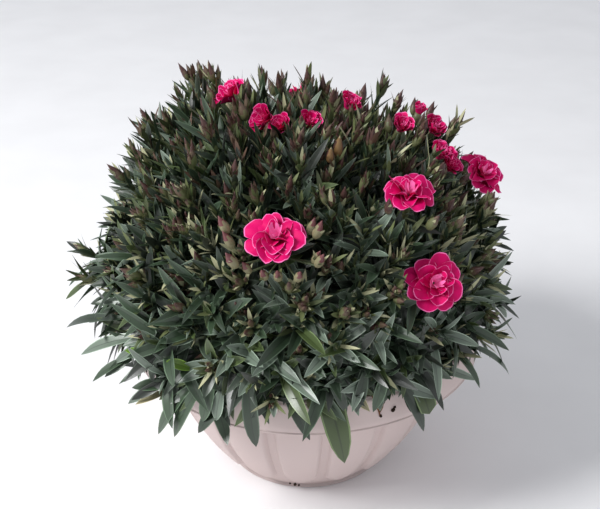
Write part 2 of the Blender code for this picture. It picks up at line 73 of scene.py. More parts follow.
CAD_BOUNDS = [list(corner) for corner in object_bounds()]
BOX_LOW, BOX_HIGH = (np.array(corner) for corner in CAD_BOUNDS)
BODY = "root"
FOLIAGE_NODES = sorted(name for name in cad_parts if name.startswith("foliage_"))
BOUGH_NODES = sorted(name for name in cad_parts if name.startswith("bough_"))
POT_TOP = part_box("pot")[1]
TINY = 1e-9
GOLDEN = math.pi * (3.0 - math.sqrt(5.0))
UP = np.array([0.0, 0.0, 1.0])

# Bowl, beyond the values that its settings hold
WALL_BULGE = 1.8
POT_WALL = 0.0030
RIM_LIP = 0.0045
CHANNEL_FOOT = 0.0090
FIRST_CHANNEL = math.radians(7.5)
# Underside: (radius, height) in its middle, and on the foot ring with radii from the foot's own
UNDERSIDE = ((0.010, 0.0012), (0.030, 0.0012))
FOOT_RING = ((-0.0070, 0.0012), (-0.0055, 0.0), (-0.0012, 0.0), (-0.0004, 0.0004))
FLOOR_TOP = (0.020, 0.003)
# Rows of the wall: from, to and number of the close ones round the channels' feet, start and
# number of the wide ones above, and number on the inside
CLOSE_ROWS = (0.0012, 0.022, 22)
WIDE_FROM, WIDE_ROWS = 0.0236, 34
INSIDE_ROWS = 16
# Step from the wall to the band, counted from the rim and the band's foot: ledge, thin roll,
# groove and the band's own foot
LEDGE_STARTS, LEDGE_ENDS = 0.0004, 0.0020
ROLL, ROLL_IN = 0.0006, 0.0013
GROOVE = ((-0.0014, 0.0015), (-0.0010, 0.0021))
BAND_LEAN, BAND_STARTS = 0.0007, 0.0028
LIP_ROUND, INNER_ROUND = 0.0016, 0.0010
# Panels: columns of each and how they bunch at the channels, rounding of a corner, start and width
# of a channel's soft edge, and the height over which a channel runs out under the band
PANEL_COLUMNS = 20
BUNCHING = 0.75
PANEL_CORNER = 0.0120
EDGE_STARTS, EDGE_WIDTH = 0.0013, 0.0028
CHANNEL_FADE = 0.0012

# Compost: the height and the dome of its top, its flat underside and side, rings and columns, and
# the clods and grains on the top with their size and seed
SOIL_TOP = 0.098
SOIL_RISE = 0.002
SOIL_SINK = 0.0016
SOIL_UNDER = 0.03
SOIL_LIFT, SOIL_OFF_WALL, SOIL_SIDE = 0.0007, 0.0045, 0.009
SOIL_MIDDLE = 0.0015
SOIL_RINGS, SOIL_COLUMNS = 64, 160
CLOD_RELIEF = 0.0011
CLODS = ((0.0042, 3), (0.0013, 4))
GAP = 0.0003

# Crumbs on the bowl: azimuth in degrees, height and size; roots: stations of (azimuth, height)
CRUMBS = (
    (25.9, 0.0963, 0.0013), (26.4, 0.0980, 0.0009), (21.8, 0.0945, 0.0010), (22.6, 0.1035, 0.0008),
    (-7.5, 0.0070, 0.0011), (-5.2, 0.0062, 0.0008), (-10.6, 0.0080, 0.0007),
    (140.0, 0.0960, 0.0010),
)
ROOTS = (
    ((18.6, 0.1140), (19.4, 0.1070), (20.4, 0.1020), (21.1, 0.0985), (21.7, 0.0940)),
    ((19.9, 0.1135), (20.8, 0.1080), (22.4, 0.1045), (22.2, 0.1000), (21.3, 0.0965)),
)
# Radii at their stations: a crumb's against its size, a root's in metres
CRUMB_RADII = (0.45, 0.85, 0.75, 1.0, 0.70, 0.35)
ROOT_RADII = (0.0007, 0.0006, 0.0008, 0.0005, 0.0004)
CRUMB_SEED, CRUMB_SIDES, ROOT_SIDES = 8, 8, 6

# The rule of growth: crown, outline of the mound, and the axes of its masses
CROWN = np.array([-0.006, 0.0, 0.114])
CROWN_RADIUS = 0.0165
DOME_SQUARENESS = 2.6
OUTER_SHARE = 1.11
# Tufts: azimuth and elevation in degrees, share of extra reach, angular spread in degrees
TUFTS = (
    (-122.0, 60.0, 0.120, 19.0),
    (104.0, 50.0, 0.030, 15.0),
    (-88.0, 28.0, 0.030, 14.0),
    (170.0, 76.0, -0.060, 17.0),
    (-76.0, 0.0, 0.060, 18.0),
    (78.0, 5.0, 0.030, 16.0),
)
# Hollows of the finer growth: azimuth and elevation in degrees, share taken off, angular spread
HOLLOWS = (
    (-94.0, 38.0, 0.085, 17.0),
    (-104.0, 62.0, 0.035, 12.0),
    (-158.0, 64.0, 0.080, 15.0),
    (-76.0, 2.0, 0.110, 17.0),
    (120.0, 58.0, 0.075, 13.0),
    (98.0, 17.0, -0.045, 15.0),
)
# How low leaves may hang outside the bowl: azimuths in degrees, and heights
HEM_AZIMUTHS = (-180.0, -70.0, -50.0, -26.0, -12.0, 0.0, 32.0, 46.0, 64.0, 180.0)
HEM_HEIGHTS = (0.084, 0.084, 0.082, 0.090, 0.101, 0.106, 0.101, 0.092, 0.088, 0.084)
# Rings of masses: how many, elevation, azimuth of the first
RINGS = (
    (8, math.radians(1.0), math.radians(4.0)),
    (6, math.radians(36.0), math.radians(-14.0)),
    (3, math.radians(71.0), math.radians(0.0)),
)
BOUGH_END = 0.052
STEM_END_SHARE = 0.62
RIM_CLEARANCE = 0.0012
LOWEST_SHOOT = math.radians(7.0)
RIM_ELEVATIONS = (math.radians(0.0), math.radians(6.5))
# Tall budded shoots on the crest: azimuth and elevation in degrees, and share of the reach
CREST = np.array((
    (-135.5, 55.0, 0.935), (-113.5, 63.0, 0.920), (-126.0, 51.0, 0.900), (-114.0, 68.0, 0.920),
    (-121.0, 72.0, 0.895), (-161.0, 59.5, 0.890), (-158.0, 77.0, 0.895), (170.5, 75.0, 0.935),
    (159.0, 70.5, 0.890), (130.0, 61.5, 0.950), (105.0, 64.0, 0.910), (127.0, 51.0, 0.860),
    (93.5, 52.5, 0.880), (88.5, 51.5, 0.975), (-99.5, 51.0, 0.880), (-91.5, 50.0, 0.890),
    (-97.5, 43.0, 0.870), (-81.5, 40.5, 0.890), (-86.0, 16.0, 0.960), (-82.0, 10.5, 0.960),
    (60.0, 80.0, 0.930),
))
# How far a shoot's end leans up from its bearing, by elevation in degrees
LEAN_ELEVATIONS = (0.0, 8.0, 14.0, 40.0, 75.0, 90.0)
LEANS = (-0.02, 0.05, 0.28, 0.65, 0.55, 0.10)
# Share of leafy shoots, by elevation in degrees
LEAFY_ELEVATIONS = (4.0, 25.0, 45.0, 70.0)
LEAFY_SHARES = (0.70, 0.52, 0.48, 0.40)
# Cosine of the angle that the other shoots keep from the tall ones
CREST_ROOM = math.cos(math.radians(3.2))
# Draws of a shoot: stray of its bearing in radians, share of the reach where it ends, leafy or
# budded, with uneven patches, forks, lean, stray of its heading, and where it bends
AZIMUTH_STRAY = (-0.07, 0.07)
ELEVATION_STRAY = (-0.03, 0.03)
LEAFY_TIPS = (0.78, 0.93)
BUDDED_TIPS = (0.80, 0.95)
UNEVEN_TIPS, TIP_RIPPLES = 0.05, 0.16
LOWEST_FORK = 0.40
FORK_PAST_BOUGH = 0.009
LEAN_DRAW = (0.6, 1.4)
HEADING_STRAY = 0.10
BEND_SHARES = (0.28, 0.36)
LOWEST_SHARE = 0.12

# Boughs and crown: where a bough starts, its radius and how it thins, its joints and the bark's
# ridges, and the crown's dome (from, to in radians, rows) with the ripples of its skin
BOUGH_STATIONS, BOUGH_SIDES, BOUGH_STARTS = 40, 14, 0.8
BOUGH_RADIUS, BOUGH_THINNING = 0.0032, 0.0016
JOINT_PITCH, JOINT_LENGTH, JOINT_RELIEF = 0.013, 0.0011, 0.24
RIDGES, RIDGE_TWIST, RIDGE_RELIEF = 5, 160.0, 0.10
CROWN_RISE = (-0.80, math.pi / 2 - 0.06, 40)
CROWN_COLUMNS = 64
SKIN_STRETCH, SKIN_RIPPLES, SKIN_SEED = 60.0, 0.35, 5
# Twigs and bud stalks: radius at the root, loss up to the tip, swelling at every other station
TWIG_STATIONS, TWIG_SIDES = 12, 5
TWIG_RADIUS, TWIG_THINNING, TWIG_SWELL = 0.00125, 0.00045, 0.22
STALK_RADIUS = 0.00062
STALK_INTO_BUD = 0.06

# Elevations, in degrees, for which the tables of leaf pairs below are given
ZONES = (5.0, 34.0, 70.0)
# Leaf pairs of a budded shoot: distance under its tip, length and width of the leaf in metres,
# opening from the shoot and further arch along the leaf in degrees
SKIRT_PAIRS = (
    (0.001, 0.013, 0.0040, 24.0, 8.0),
    (0.004, 0.025, 0.0066, 44.0, 18.0),
    (0.009, 0.037, 0.0082, 58.0, 24.0),
    (0.016, 0.046, 0.0090, 68.0, 30.0),
    (0.026, 0.049, 0.0090, 76.0, 32.0),
    (0.038, 0.047, 0.0086, 82.0, 32.0),
)
SIDE_PAIRS = (
    (0.005, 0.014, 0.0032, 15.0, 4.0),
    (0.010, 0.021, 0.0044, 24.0, 8.0),
    (0.017, 0.027, 0.0053, 33.0, 12.0),
    (0.026, 0.032, 0.0058, 42.0, 16.0),
    (0.037, 0.034, 0.0059, 50.0, 18.0),
    (0.050, 0.034, 0.0058, 58.0, 20.0),
)
TOP_PAIRS = (
    (0.007, 0.014, 0.0030, 10.0, 3.0),
    (0.013, 0.019, 0.0038, 16.0, 5.0),
    (0.021, 0.024, 0.0044, 24.0, 8.0),
    (0.031, 0.028, 0.0048, 33.0, 12.0),
    (0.043, 0.030, 0.0050, 42.0, 15.0),
    (0.057, 0.030, 0.0050, 50.0, 18.0),
)
# The same three tables are drawn in by these factors on a leafy shoot, whose fan starts at its tip
LEAFY_FACTORS = (0.62, 1.04, 1.06, 0.78, 1.0)
# Leaves grow finer round one side: its azimuth, its spread in degrees, and the share taken off
FINE_SIDE = (96.0, 42.0, 0.26)
DROOPS = (0.24, 0.06, 0.0)
BLADE_BASE = 0.46
WIDEST = 0.44
POINTED = 2.3
# How the rows of a blade bunch at its tip, how far its fold opens there, and how much shorter a
# leaf is tried that doesn't fit
ROW_BUNCHING = 1.2
FLATTER_TIP = 0.75
SHORTER_TRIES = (0.8, 0.62)
# Draws of the pairs: stray of their places and roll, factors of each leaf, twist in radians and
# fold in degrees
PAIR_STRAY = (0.85, 1.15)
ROLL_STRAY = 0.18
LEAF_DRAWS = {
    "length": (0.74, 1.20), "width": (0.86, 1.14), "opening": (0.78, 1.20), "arch": (0.2, 1.8),
    "droop": (0.5, 1.5),
}
LEAF_TWIST = 0.35
LEAF_FOLDS = (20.0, 54.0)
# Plain leaves deep inside: where on the twig, and their own draws in metres and degrees
SHADE_SHARES = (0.05, 0.62)
SHADE_DRAWS = {
    "length": (0.026, 0.042), "width": (0.0055, 0.0085), "opening": (28.0, 80.0),
    "arch": (0.0, 36.0), "droop": (0.0, 0.4),
}
SHADE_TWIST = 0.4
SHADE_FOLDS = (8.0, 26.0)
LEAF_COLUMNS = np.array([-1.0, -0.86, -0.08, 0.08, 0.86, 1.0])
LEAF_ROWS = 7
# Slots of a leaf: the blade, the margin with a painted highlight, and the midrib with painted shade
BLADE, MARGIN_HIGHLIGHT, MIDRIB_SHADE = 0, 1, 2
SHADE_COLUMNS = np.array([-1.0, 0.0, 1.0])
SHADE_ROWS = 4
TINTS = ("deep", "dusk", "sea", "grey", "olive", "lime", "dry")
TINT_ODDS = (0.29, 0.14, 0.29, 0.16, 0.118, 0.0, 0.002)
SPRAY_TINTED = 0.55
# The margin is lightened into a painted highlight along the leaf's edges, and the midrib is
# darkened into painted shade in its groove
MARGIN_HIGHLIGHT_GAIN, MARGIN_HIGHLIGHT_LIFT, MIDRIB_SHADE_GAIN = 2.4, 0.035, 0.62
# How far a single leaf's face leans out from straight up, and its fold in radians
LEAN_OUT, SINGLE_FOLD = 0.8, 0.30
# Single leaves: root and tip in millimetres, width in millimetres, arch in degrees (below zero
# where the tip curls up), sharpness of the tip, and tint
SINGLE_LEAVES = (
    (5, -103, 127, 21, -129, 77, 15.5, 75, 3.0, "olive"),
    (54, -92, 123, 71, -110, 98, 14.0, 60, 12.0, "olive"),
    (-60, -105, 115, -47, -119, 82, 9.0, -75, 3.0, "sea"),
    (-68, -109, 129, -81, -112, 136, 6.5, 20, 2.3, "lime"),
    (-91, -94, 129, -107, -96, 133, 6.0, 20, 2.3, "lime"),
    (-83, -100, 107, -101, -109, 104, 5.5, 20, 2.3, "dry"),
    (-112, -71, 140, -154, -37, 113, 6.5, 40, 2.3, "deep"),
    (-102, -78, 131, -139, -69, 113, 9.0, 40, 2.3, "grey"),
    (-110, -74, 113, -132, -76, 98, 7.0, 35, 2.3, "sea"),
    (-80, -101, 113, -103, -105, 113, 8.5, 25, 2.3, "sea"),
    (-69, -108, 115, -89, -108, 82, 9.0, 35, 2.6, "sea"),
    (-61, -112, 120, -79, -112, 83, 9.5, 35, 2.6, "sea"),
    (-34, -120, 129, -30, -127, 87, 9.5, 45, 2.8, "deep"),
    (-26, -119, 119, -34, -127, 102, 7.0, 30, 2.3, "sea"),
    (-14, -119, 121, 1, -126, 91, 7.0, 40, 2.3, "deep"),
    (97, -72, 122, 127, -58, 91, 5.5, 45, 2.3, "sea"),
    (89, -81, 120, 102, -95, 106, 5.5, 55, 2.3, "sea"),
    (51, -108, 121, 68, -112, 87, 9.0, 45, 2.3, "deep"),
    (11, -122, 133, 22, -122, 107, 7.0, 30, 2.3, "deep"),
    (53, -107, 124, 60, -111, 100, 7.5, 30, 2.3, "deep"),
    (44, -114, 130, 37, -121, 107, 7.0, 30, 2.3, "sea"),
    (32, -118, 132, 27, -124, 109, 7.0, 30, 2.3, "deep"),
    (-48, -114, 109, -64, -119, 91, 8.5, 50, 2.5, "deep"),
    (-55, -114, 119, -61, -119, 99, 9.0, 30, 2.5, "sea"),
    (-50, -116, 118, -53, -121, 101, 8.0, 30, 2.3, "grey"),
)

# Blooms: azimuth and elevation of the place, azimuth and elevation that the face looks to, in
# degrees, diameter, share of the mound's reach, and how far closed
BLOOMS = np.array((
    (-6.0, 42.0, -4.0, 64.0, 0.0400, 0.965, 0.0),
    (39.0, 48.0, 26.0, 72.0, 0.0375, 0.955, 0.0),
    (38.0, 27.5, 16.0, 36.0, 0.0400, 0.965, 0.0),
    (91.0, 37.5, 54.0, 46.0, 0.0360, 0.955, 0.08),
    (-108.0, 73.0, -75.0, 50.0, 0.0290, 0.870, 0.45),
    (-45.5, 79.5, -50.0, 30.0, 0.0240, 0.870, 0.75),
    (-19.0, 78.5, -30.0, 45.0, 0.0190, 0.870, 0.85),
    (18.5, 82.0, 20.0, 45.0, 0.0200, 0.870, 0.85),
    (112.5, 75.5, 60.0, 60.0, 0.0200, 0.895, 0.75),
    (89.0, 60.5, 70.0, 70.0, 0.0130, 0.950, 1.0),
    (79.0, 63.0, 30.0, 55.0, 0.0190, 0.890, 0.8),
    (90.5, 55.0, 40.0, 50.0, 0.0200, 0.910, 0.75),
    (76.5, 51.5, 50.0, 58.0, 0.0210, 0.890, 0.7),
    (79.5, 48.0, 50.0, 36.0, 0.0210, 0.870, 0.7),
    (156.0, 27.0, 160.0, 40.0, 0.0390, 0.965, 0.0),
    (-150.0, 30.0, -158.0, 40.0, 0.0390, 0.965, 0.0),
    (178.0, 45.0, 178.0, 56.0, 0.0360, 0.955, 0.1),
))
BLOOM_PLACES, BLOOM_FACES = BLOOMS[:, :2], BLOOMS[:, 2:4]
BLOOM_WIDTHS, BLOOM_SHARES, BLOOM_CLOSED = BLOOMS[:, 4:].T
# Room that shoots and leaves leave round a bloom, against its diameter and in metres
BLOOM_ROOM = 0.002
OPEN_RADIUS, CLOSED_LESS = 0.47, 0.22
BLOOM_UNDER, BLOOM_OVER = -0.003, 0.024
# Whorls of petals: how many, length and half width against the diameter, start and end of the
# tilt above the flower's own plane in degrees, and lift of the base in metres
WHORLS = (
    (8, 0.52, 0.165, 62.0, -3.0, 0.0000),
    (6, 0.41, 0.145, 68.0, 9.0, 0.0016),
    (4, 0.28, 0.110, 74.0, 24.0, 0.0030),
    (4, 0.16, 0.085, 80.0, 38.0, 0.0046),
)
PETAL_ROUNDING = 0.42
PETAL_ROWS = np.array([0.08, 0.25, 0.42, 0.58, 0.72, 0.85, 0.965, 1.0])
PETAL_COLUMNS = np.sin(np.radians([-88, -72, -55, -38, -22, -7, 7, 22, 38, 55, 72, 88]))
# Slots of a petal: its own colour, the thin pale edge, and a painted highlight at the bloom's heart
PETAL, PETAL_EDGE, PETAL_HEART_HIGHLIGHT = 0, 1, 2
# Shape of a petal: where it reaches its full width, fall of the tilt, teeth of the end, ruffles as
# (height, waves), and the cupping of flat and steep ones
MIDLINE_POINTS = 60
FULL_WIDTH_AT, WIDENING, CLAW_WIDTH = 0.70, 1.2, 0.14
TILT_FALL, TURN_BACK = 1.6, 20.0
TEETH_DEPTH, TEETH_WAVES, TEETH_FROM = 0.007, 13.0, 0.9
RUFFLES = ((0.036, 2.4), (0.018, 6.0))
CUP_FLAT, CUP_STEEP = 0.05, 0.16
# A closed bloom: steeper, longer and calmer petals
CLOSED_TILT, CLOSED_LONGER, CLOSED_CALM = 66.0, 0.35, 0.6
# Draws of a petal: turn in radians, tilt in degrees, length, width and roll
WHORL_TURN, PETAL_STRAY, TILT_STRAY = 0.75, 0.13, 6.0
PETAL_LENGTHS, PETAL_WIDTHS, PETAL_ROLL = (0.88, 1.07), (0.90, 1.10), 0.20
# Flower tube: depth of the petals' foot in it, its start and length, its outline, its size by the
# bloom's diameter, and its colour against a bud's
CLAW_DEPTH, CALYX_UNDER, CALYX_LENGTH = 0.16, 0.015, 0.018
CALYX_OUTLINE = ((0.0, 0.2, 0.8, 1.0), (0.0014, 0.0028, 0.0033, 0.0030))
CALYX_SIZES = ((0.020, 0.036), (0.7, 1.0))
CALYX_STATIONS, CALYX_SIDES, CALYX_TONE = 6, 12, 0.8

# Bud outline: heights up the bud and radii there, as shares of its length and half its width
BUD_HEIGHTS = np.array([0.03, 0.17, 0.35, 0.54, 0.72, 0.87])
BUD_RADII = np.array([0.50, 0.88, 1.00, 0.84, 0.52, 0.23])
BUD_SIDES = 7
BUD_TWIST = 0.5
# Draws of the bud at a tip, those beside it and a bloom's companions: length in metres, width
# against the length, and lean in degrees
MAIN_BUD = {"length": (0.0105, 0.0160), "width": (0.36, 0.46)}
SIDE_BUD = {"length": (0.0080, 0.0140), "width": (0.34, 0.46), "lean": (12.0, 34.0)}
COMPANION_BUD = {"length": (0.0115, 0.0150), "width": (0.40, 0.48), "lean": (42.0, 66.0)}
# How much slimmer and, in degrees, more upright they are at the top, and how small at the skirt;
# how many stand beside the one at the tip, and how they turn and rise
SLIM_TOP, UPRIGHT_TOP, SLIM_ELEVATIONS = 0.30, 8.0, (20.0, 60.0)
SMALL_ELEVATIONS, SMALL_SIZES = (6.0, 16.0), (0.55, 1.0)
SIDE_NUMBER, COMPANIONS, FRONT_COMPANIONS = (1, 4), 3, 13
HALF_FAN, SHOOT_TURN, TURN_STRAY, COMPANION_RISE = 1.9, 1.3, 0.25, 1.2
# Stalks in metres: how far back they start and how long they are, and by the bloom's diameter
MAIN_STALK = 0.003
STALK_BACK, STALK_LENGTH = (0.003, 0.011), (0.003, 0.008)
BLOOM_BACK, BLOOM_STALK = 0.36, (0.42, 0.78)
# Looks of the buds, row by row from base to tip, and the roughness of each skin
BUD_LOOKS = {
    "green": ("green", "green", "green", "green", "blush", "maroon"),
    "flushed": ("green", "green", "green", "blush", "blush", "maroon"),
    "maroon": ("green", "green", "blush", "maroon", "maroon", "maroon"),
    "plump": ("pale", "pale", "pale", "pale", "rose", "rose"),
}
BUD_ROUGHNESS = {
    "green": 0.45, "blush": 0.45, "maroon": 0.42, "pale": 0.42, "rose": 0.42, "gold": 0.5,
}
BRACT_ROUGHNESS = 0.5
# How much further the buds flush at the top, between two elevations, and how the draw is split
FLUSHED_TOP, FLUSHED_ELEVATIONS, FLUSH_STEPS = 0.42, (38.0, 63.0), (0.40, 0.85)
# Bracts: how far under the tip a pair stands, how many clasp a bud, and draws as for leaves
BRACTS_FROM = 15.0
BRACT_DROPS = np.array([0.000, 0.002, 0.005, 0.008, 0.012])
BRACT_CURVE = 0.09
CLASPS, CLASP_TURN = 3, 0.7
PAIRED_BRACT = {
    "length": (0.009, 0.019), "width": (0.0020, 0.0034), "opening": (16.0, 46.0),
    "arch": (-14.0, 26.0),
}
CLASPING_BRACT = {
    "length": (0.45, 0.95), "width": (0.0017, 0.0028), "opening": (10.0, 30.0),
    "arch": (-24.0, 8.0),
}
UPRIGHT_BRACTS, UPRIGHT_ELEVATIONS = 14.0, (20.0, 65.0)
BRACT_TWIST = 0.3
BRACT_FOLDS = (10.0, 30.0)
# Colour factors of the bracts' four tones, and how the draw, higher at the top, is split
BRACT_TONES = {
    "pale": (1.0, 1.0, 1.0), "green": (0.32, 0.38, 0.26), "dim": (0.15, 0.19, 0.13),
    "flushed": (0.26, 0.15, 0.17),
}
DIM_TOP, DIM_ELEVATIONS, TONE_STEPS = 0.38, (34.0, 60.0), (0.52, 0.82, 1.16)

# Withered buds between the leaves: azimuth and elevation in degrees, share of the mound's reach,
# length and width in metres
WITHERED_BUDS = np.array((
    (19.5, 62.4, 0.920, 0.0150, 0.0062),
    (15.0, 61.2, 0.915, 0.0110, 0.0052),
))
WITHERED_RISE = 0.8

# Finishes: roughness, flecks to the metre, stray of the colour, relief, specular level, sheen
# and the sheen's colour; the buds' has their own roughness before it
NO_SHEEN = (0.0, (1.0, 1.0, 1.0))
PLASTIC = (0.46, 90.0, 0.035, 0.05, 0.42, *NO_SHEEN)
COMPOST = (0.92, 700.0, 0.55, 0.70, 0.20, *NO_SHEEN)
CRUMB = (0.90, 900.0, 0.40, 0.60, 0.20, *NO_SHEEN)
DRY_ROOT = (0.80, 900.0, 0.30, 0.40, 0.20, *NO_SHEEN)
WOOD = (0.80, 420.0, 0.40, 0.60, 0.25, *NO_SHEEN)
STEM = (0.55, 300.0, 0.20, 0.10, 0.40, *NO_SHEEN)
WAXY = (0.40, 190.0, 0.0, 0.10, 0.75, 0.02, (0.80, 0.88, 0.84))
VELVET = (0.58, 320.0, 0.0, 0.14, 0.14, 0.04, (1.0, 0.45, 0.70))
BUD_SKIN = (400.0, 0.0, 0.10, 0.40, *NO_SHEEN)
FLOOR = (0.70, 12.0, 0.02, 0.02, 0.20, *NO_SHEEN)
SHEEN_ROUGHNESS = 0.45

# Stage: floor, sky, the point that lights and camera look at, and the lights with their places,
# sizes and settings
FLOOR_REACH, FLOOR_UNDER = 6.0, 0.0004
SKY_COLOUR = (0.93, 0.95, 1.0, 1.0)
TARGET = np.array([-0.0048, 0.0, 0.1468])
LIGHTS = (
    ("key", (-1.20, -0.62, 1.30), 0.6, "key_power"),
    ("fill", (1.2, -0.9, 0.7), 1.2, "fill_power"),
    ("back", (-0.3, 1.3, 1.1), 1.0, "fill_power"),
)


# ---------------------------------------------------------------- settings

def length_setting(name, text, default):
    """A length property in metres."""
    return bpy.props.FloatProperty(
        name=name, description=text, default=default, unit="LENGTH", subtype="DISTANCE",
        precision=4)


def colour_setting(name, text, default):
    """A linear colour property."""
    return bpy.props.FloatVectorProperty(
        name=name, description=text, default=default, size=3, min=0.0, max=1.0, subtype="COLOR")


class BowlSettings(bpy.types.PropertyGroup):
    """Sizes and colours of the bowl and its compost."""

    height: length_setting("Height", "Height of the bowl", POT_TOP.z)
    rim_radius: length_setting("Rim radius", "Outer radius of the rim band", POT_TOP.x)
    rim_band: length_setting("Rim band", "Height of the smooth band under the rim", 0.0245)
    wall_top: length_setting("Wall top radius", "Radius of the wall under the band", 0.0950)
    foot_radius: length_setting("Foot radius", "Radius of the flat foot", 0.0560)
    channel_width: length_setting("Channel width", "Width of a channel between panels", 0.0064)
    channel_depth: length_setting("Channel depth", "How far the channels lie back", 0.0040)
    panels: bpy.props.IntProperty(
        name="Panels", description="Raised panels round the wall", default=16, min=3)
    colour: colour_setting("Bowl", "Colour of the moulded plastic", (0.615, 0.490, 0.478))
    compost: colour_setting("Compost", "Colour of the compost", (0.035, 0.022, 0.014))
    root: colour_setting("Dry root", "Dry roots on the bowl", (0.150, 0.062, 0.028))


class MoundSettings(bpy.types.PropertyGroup):
    """Size of the mound and how densely it grows."""

    radius: length_setting("Radius", "Reach of the mound to the sides", 0.135)
    height: length_setting("Height", "Reach of the mound upwards from the crown", 0.150)
    drop: length_setting("Drop", "Reach of the mound downwards from the crown", 0.075)
    shoots: bpy.props.IntProperty(
        name="Shoots", description="Shoots over the dome", default=620, min=1)
    rim_shoots: bpy.props.IntProperty(
        name="Rim shoots", description="Shoots that overhang the rim", default=60, min=1)
    shade_leaves: bpy.props.IntProperty(
        name="Shade leaves", description="Plain leaves deep in the mound", default=2200, min=1)
    seed: bpy.props.IntProperty(name="Seed", description="Seed of every draw", default=23)


class PlantColours(bpy.types.PropertyGroup):
    """Plain colours that are dealt out to the sprays."""

    leaf_deep: colour_setting("Deep leaf", "Dark outer leaves", (0.016, 0.031, 0.015))
    leaf_sea: colour_setting("Sea-green leaf", "Most common leaves", (0.034, 0.061, 0.031))
    leaf_grey: colour_setting("Grey leaf", "Leaves with the thickest bloom", (0.125, 0.165, 0.124))
    leaf_dusk: colour_setting("Dusk leaf", "Darkest of the outer leaves", (0.011, 0.017, 0.010))
    leaf_lime: colour_setting("Lime leaf", "A few young bright leaves", (0.125, 0.230, 0.022))
    leaf_dry: colour_setting("Dry leaf", "A few dried leaves", (0.330, 0.300, 0.170))
    leaf_olive: colour_setting("Olive leaf", "Greener leaves", (0.052, 0.080, 0.022))
    # The near-black colour of the leaves deep inside is painted shade of the mound's inside
    leaf_shade: colour_setting("Shade leaf", "Leaves deep in the mound", (0.007, 0.011, 0.006))
    bract: colour_setting("Bract", "Narrow bracts round the buds", (0.405, 0.405, 0.243))
    stem: colour_setting("Stem", "Young stems", (0.075, 0.095, 0.045))
    wood: colour_setting("Wood", "Old stems and the crown", (0.150, 0.120, 0.065))
    bud_green: colour_setting("Bud base", "Lower part of a bud", (0.126, 0.135, 0.061))
    bud_blush: colour_setting("Bud blush", "Middle of a flushed bud", (0.110, 0.074, 0.049))
    bud_pale: colour_setting("Plump bud", "Foot of the plump buds", (0.210, 0.190, 0.105))
    bud_rose: colour_setting("Plump bud tip", "Tips of the plump buds", (0.140, 0.046, 0.048))
    bud_gold: colour_setting("Withered bud", "Dry husk of a withered bud", (0.170, 0.098, 0.038))
    bud_maroon: colour_setting("Bud tip", "Tips of the buds", (0.072, 0.032, 0.028))
    petal: colour_setting("Petal", "Crimson pink of the petals", (0.610, 0.0008, 0.118))
    petal_edge: colour_setting("Petal edge", "Thin pale edge of a petal", (0.880, 0.170, 0.440))
    # The heart's pale pink is a painted highlight, where light falls into the folded inner petals
    throat: colour_setting("Throat", "Pale heart of a bloom", (0.880, 0.180, 0.460))


class StageSettings(bpy.types.PropertyGroup):
    """Floor, light and camera."""

    floor: colour_setting("Floor", "Pale floor", (0.86, 0.86, 0.87))
    key_power: bpy.props.FloatProperty(
        name="Key light", description="Power of the soft key light", default=34.0, unit="POWER")
    fill_power: bpy.props.FloatProperty(
        name="Fill light", description="Power of the fill light", default=1.5, unit="POWER")
    sky: bpy.props.FloatProperty(
        name="Sky", description="Strength of the even light from all round", default=0.57)
    tilt: bpy.props.FloatProperty(
        name="Camera tilt", description="How far the camera looks down",
        default=math.radians(27.0), subtype="ANGLE")
    distance: length_setting("Camera distance", "From the camera to its target", 0.7196)
    lens: bpy.props.FloatProperty(
        name="Lens", description="Focal length in millimetres", default=66.0)


# ---------------------------------------------------------------- arrays

def azimuths(points):
    """Azimuths of points in degrees, from the front to the right."""
    return np.degrees(np.arctan2(points[..., 0], -points[..., 1]))


def unit(vectors):
    """Each vector over its own length."""
    return vectors / np.maximum(np.linalg.norm(vectors, axis=-1, keepdims=True), TINY)


def dot(first, second):
    """Products of pairs of vectors, kept as a last axis of one."""
    return np.sum(first * second, axis=-1, keepdims=True)


def bearing(azimuth, elevation):
    """Unit vectors at azimuths from the front, to the right, and elevations, in radians."""
    flat = np.cos(elevation)
    return np.stack([flat * np.sin(azimuth), -flat * np.cos(azimuth), np.sin(elevation)], axis=-1)


def upright(direction):
    """Unit vectors at right angles to the directions, drawn from one fixed slanting vector."""
    slant = np.array([0.31, 0.17, 0.94])
    return unit(np.cross(direction, np.broadcast_to(slant, direction.shape)))


def turned(vector, axis, angle):
    """Vectors at right angles to their axes, turned about them: v cos a + (axis x v) sin a."""
    return vector * np.cos(angle) + np.cross(axis, vector) * np.sin(angle)


def ripples(points, scale, seed):
    """Smooth uneven values about zero: the mean of eight sine waves in random directions."""
    rng = np.random.default_rng(seed)
    waves = unit(rng.normal(size=(8, 3))) / scale * rng.uniform(0.6, 1.7, (8, 1))
    return np.mean(np.sin(points @ waves.T + rng.uniform(0.0, math.tau, 8)), axis=-1)


def toward(degrees):
    """Unit vectors at (..., azimuth and elevation) pairs in degrees."""
    return bearing(np.radians(degrees[..., 0]), np.radians(degrees[..., 1]))


def bells(direction, table, sign):
    """One, plus or less a bell curve of the angle to each bearing of the table.

    A row gives azimuth and elevation, the height of its bell, and its spread in degrees.
    """
    share = np.ones(direction.shape[:-1])
    for azimuth, elevation, height, spread in table:
        middle = bearing(math.radians(azimuth), math.radians(elevation))
        away = np.degrees(np.arccos(np.clip(direction @ middle, -1.0, 1.0))) / spread
        share += sign * height * np.exp(-0.5 * away * away)
    return share


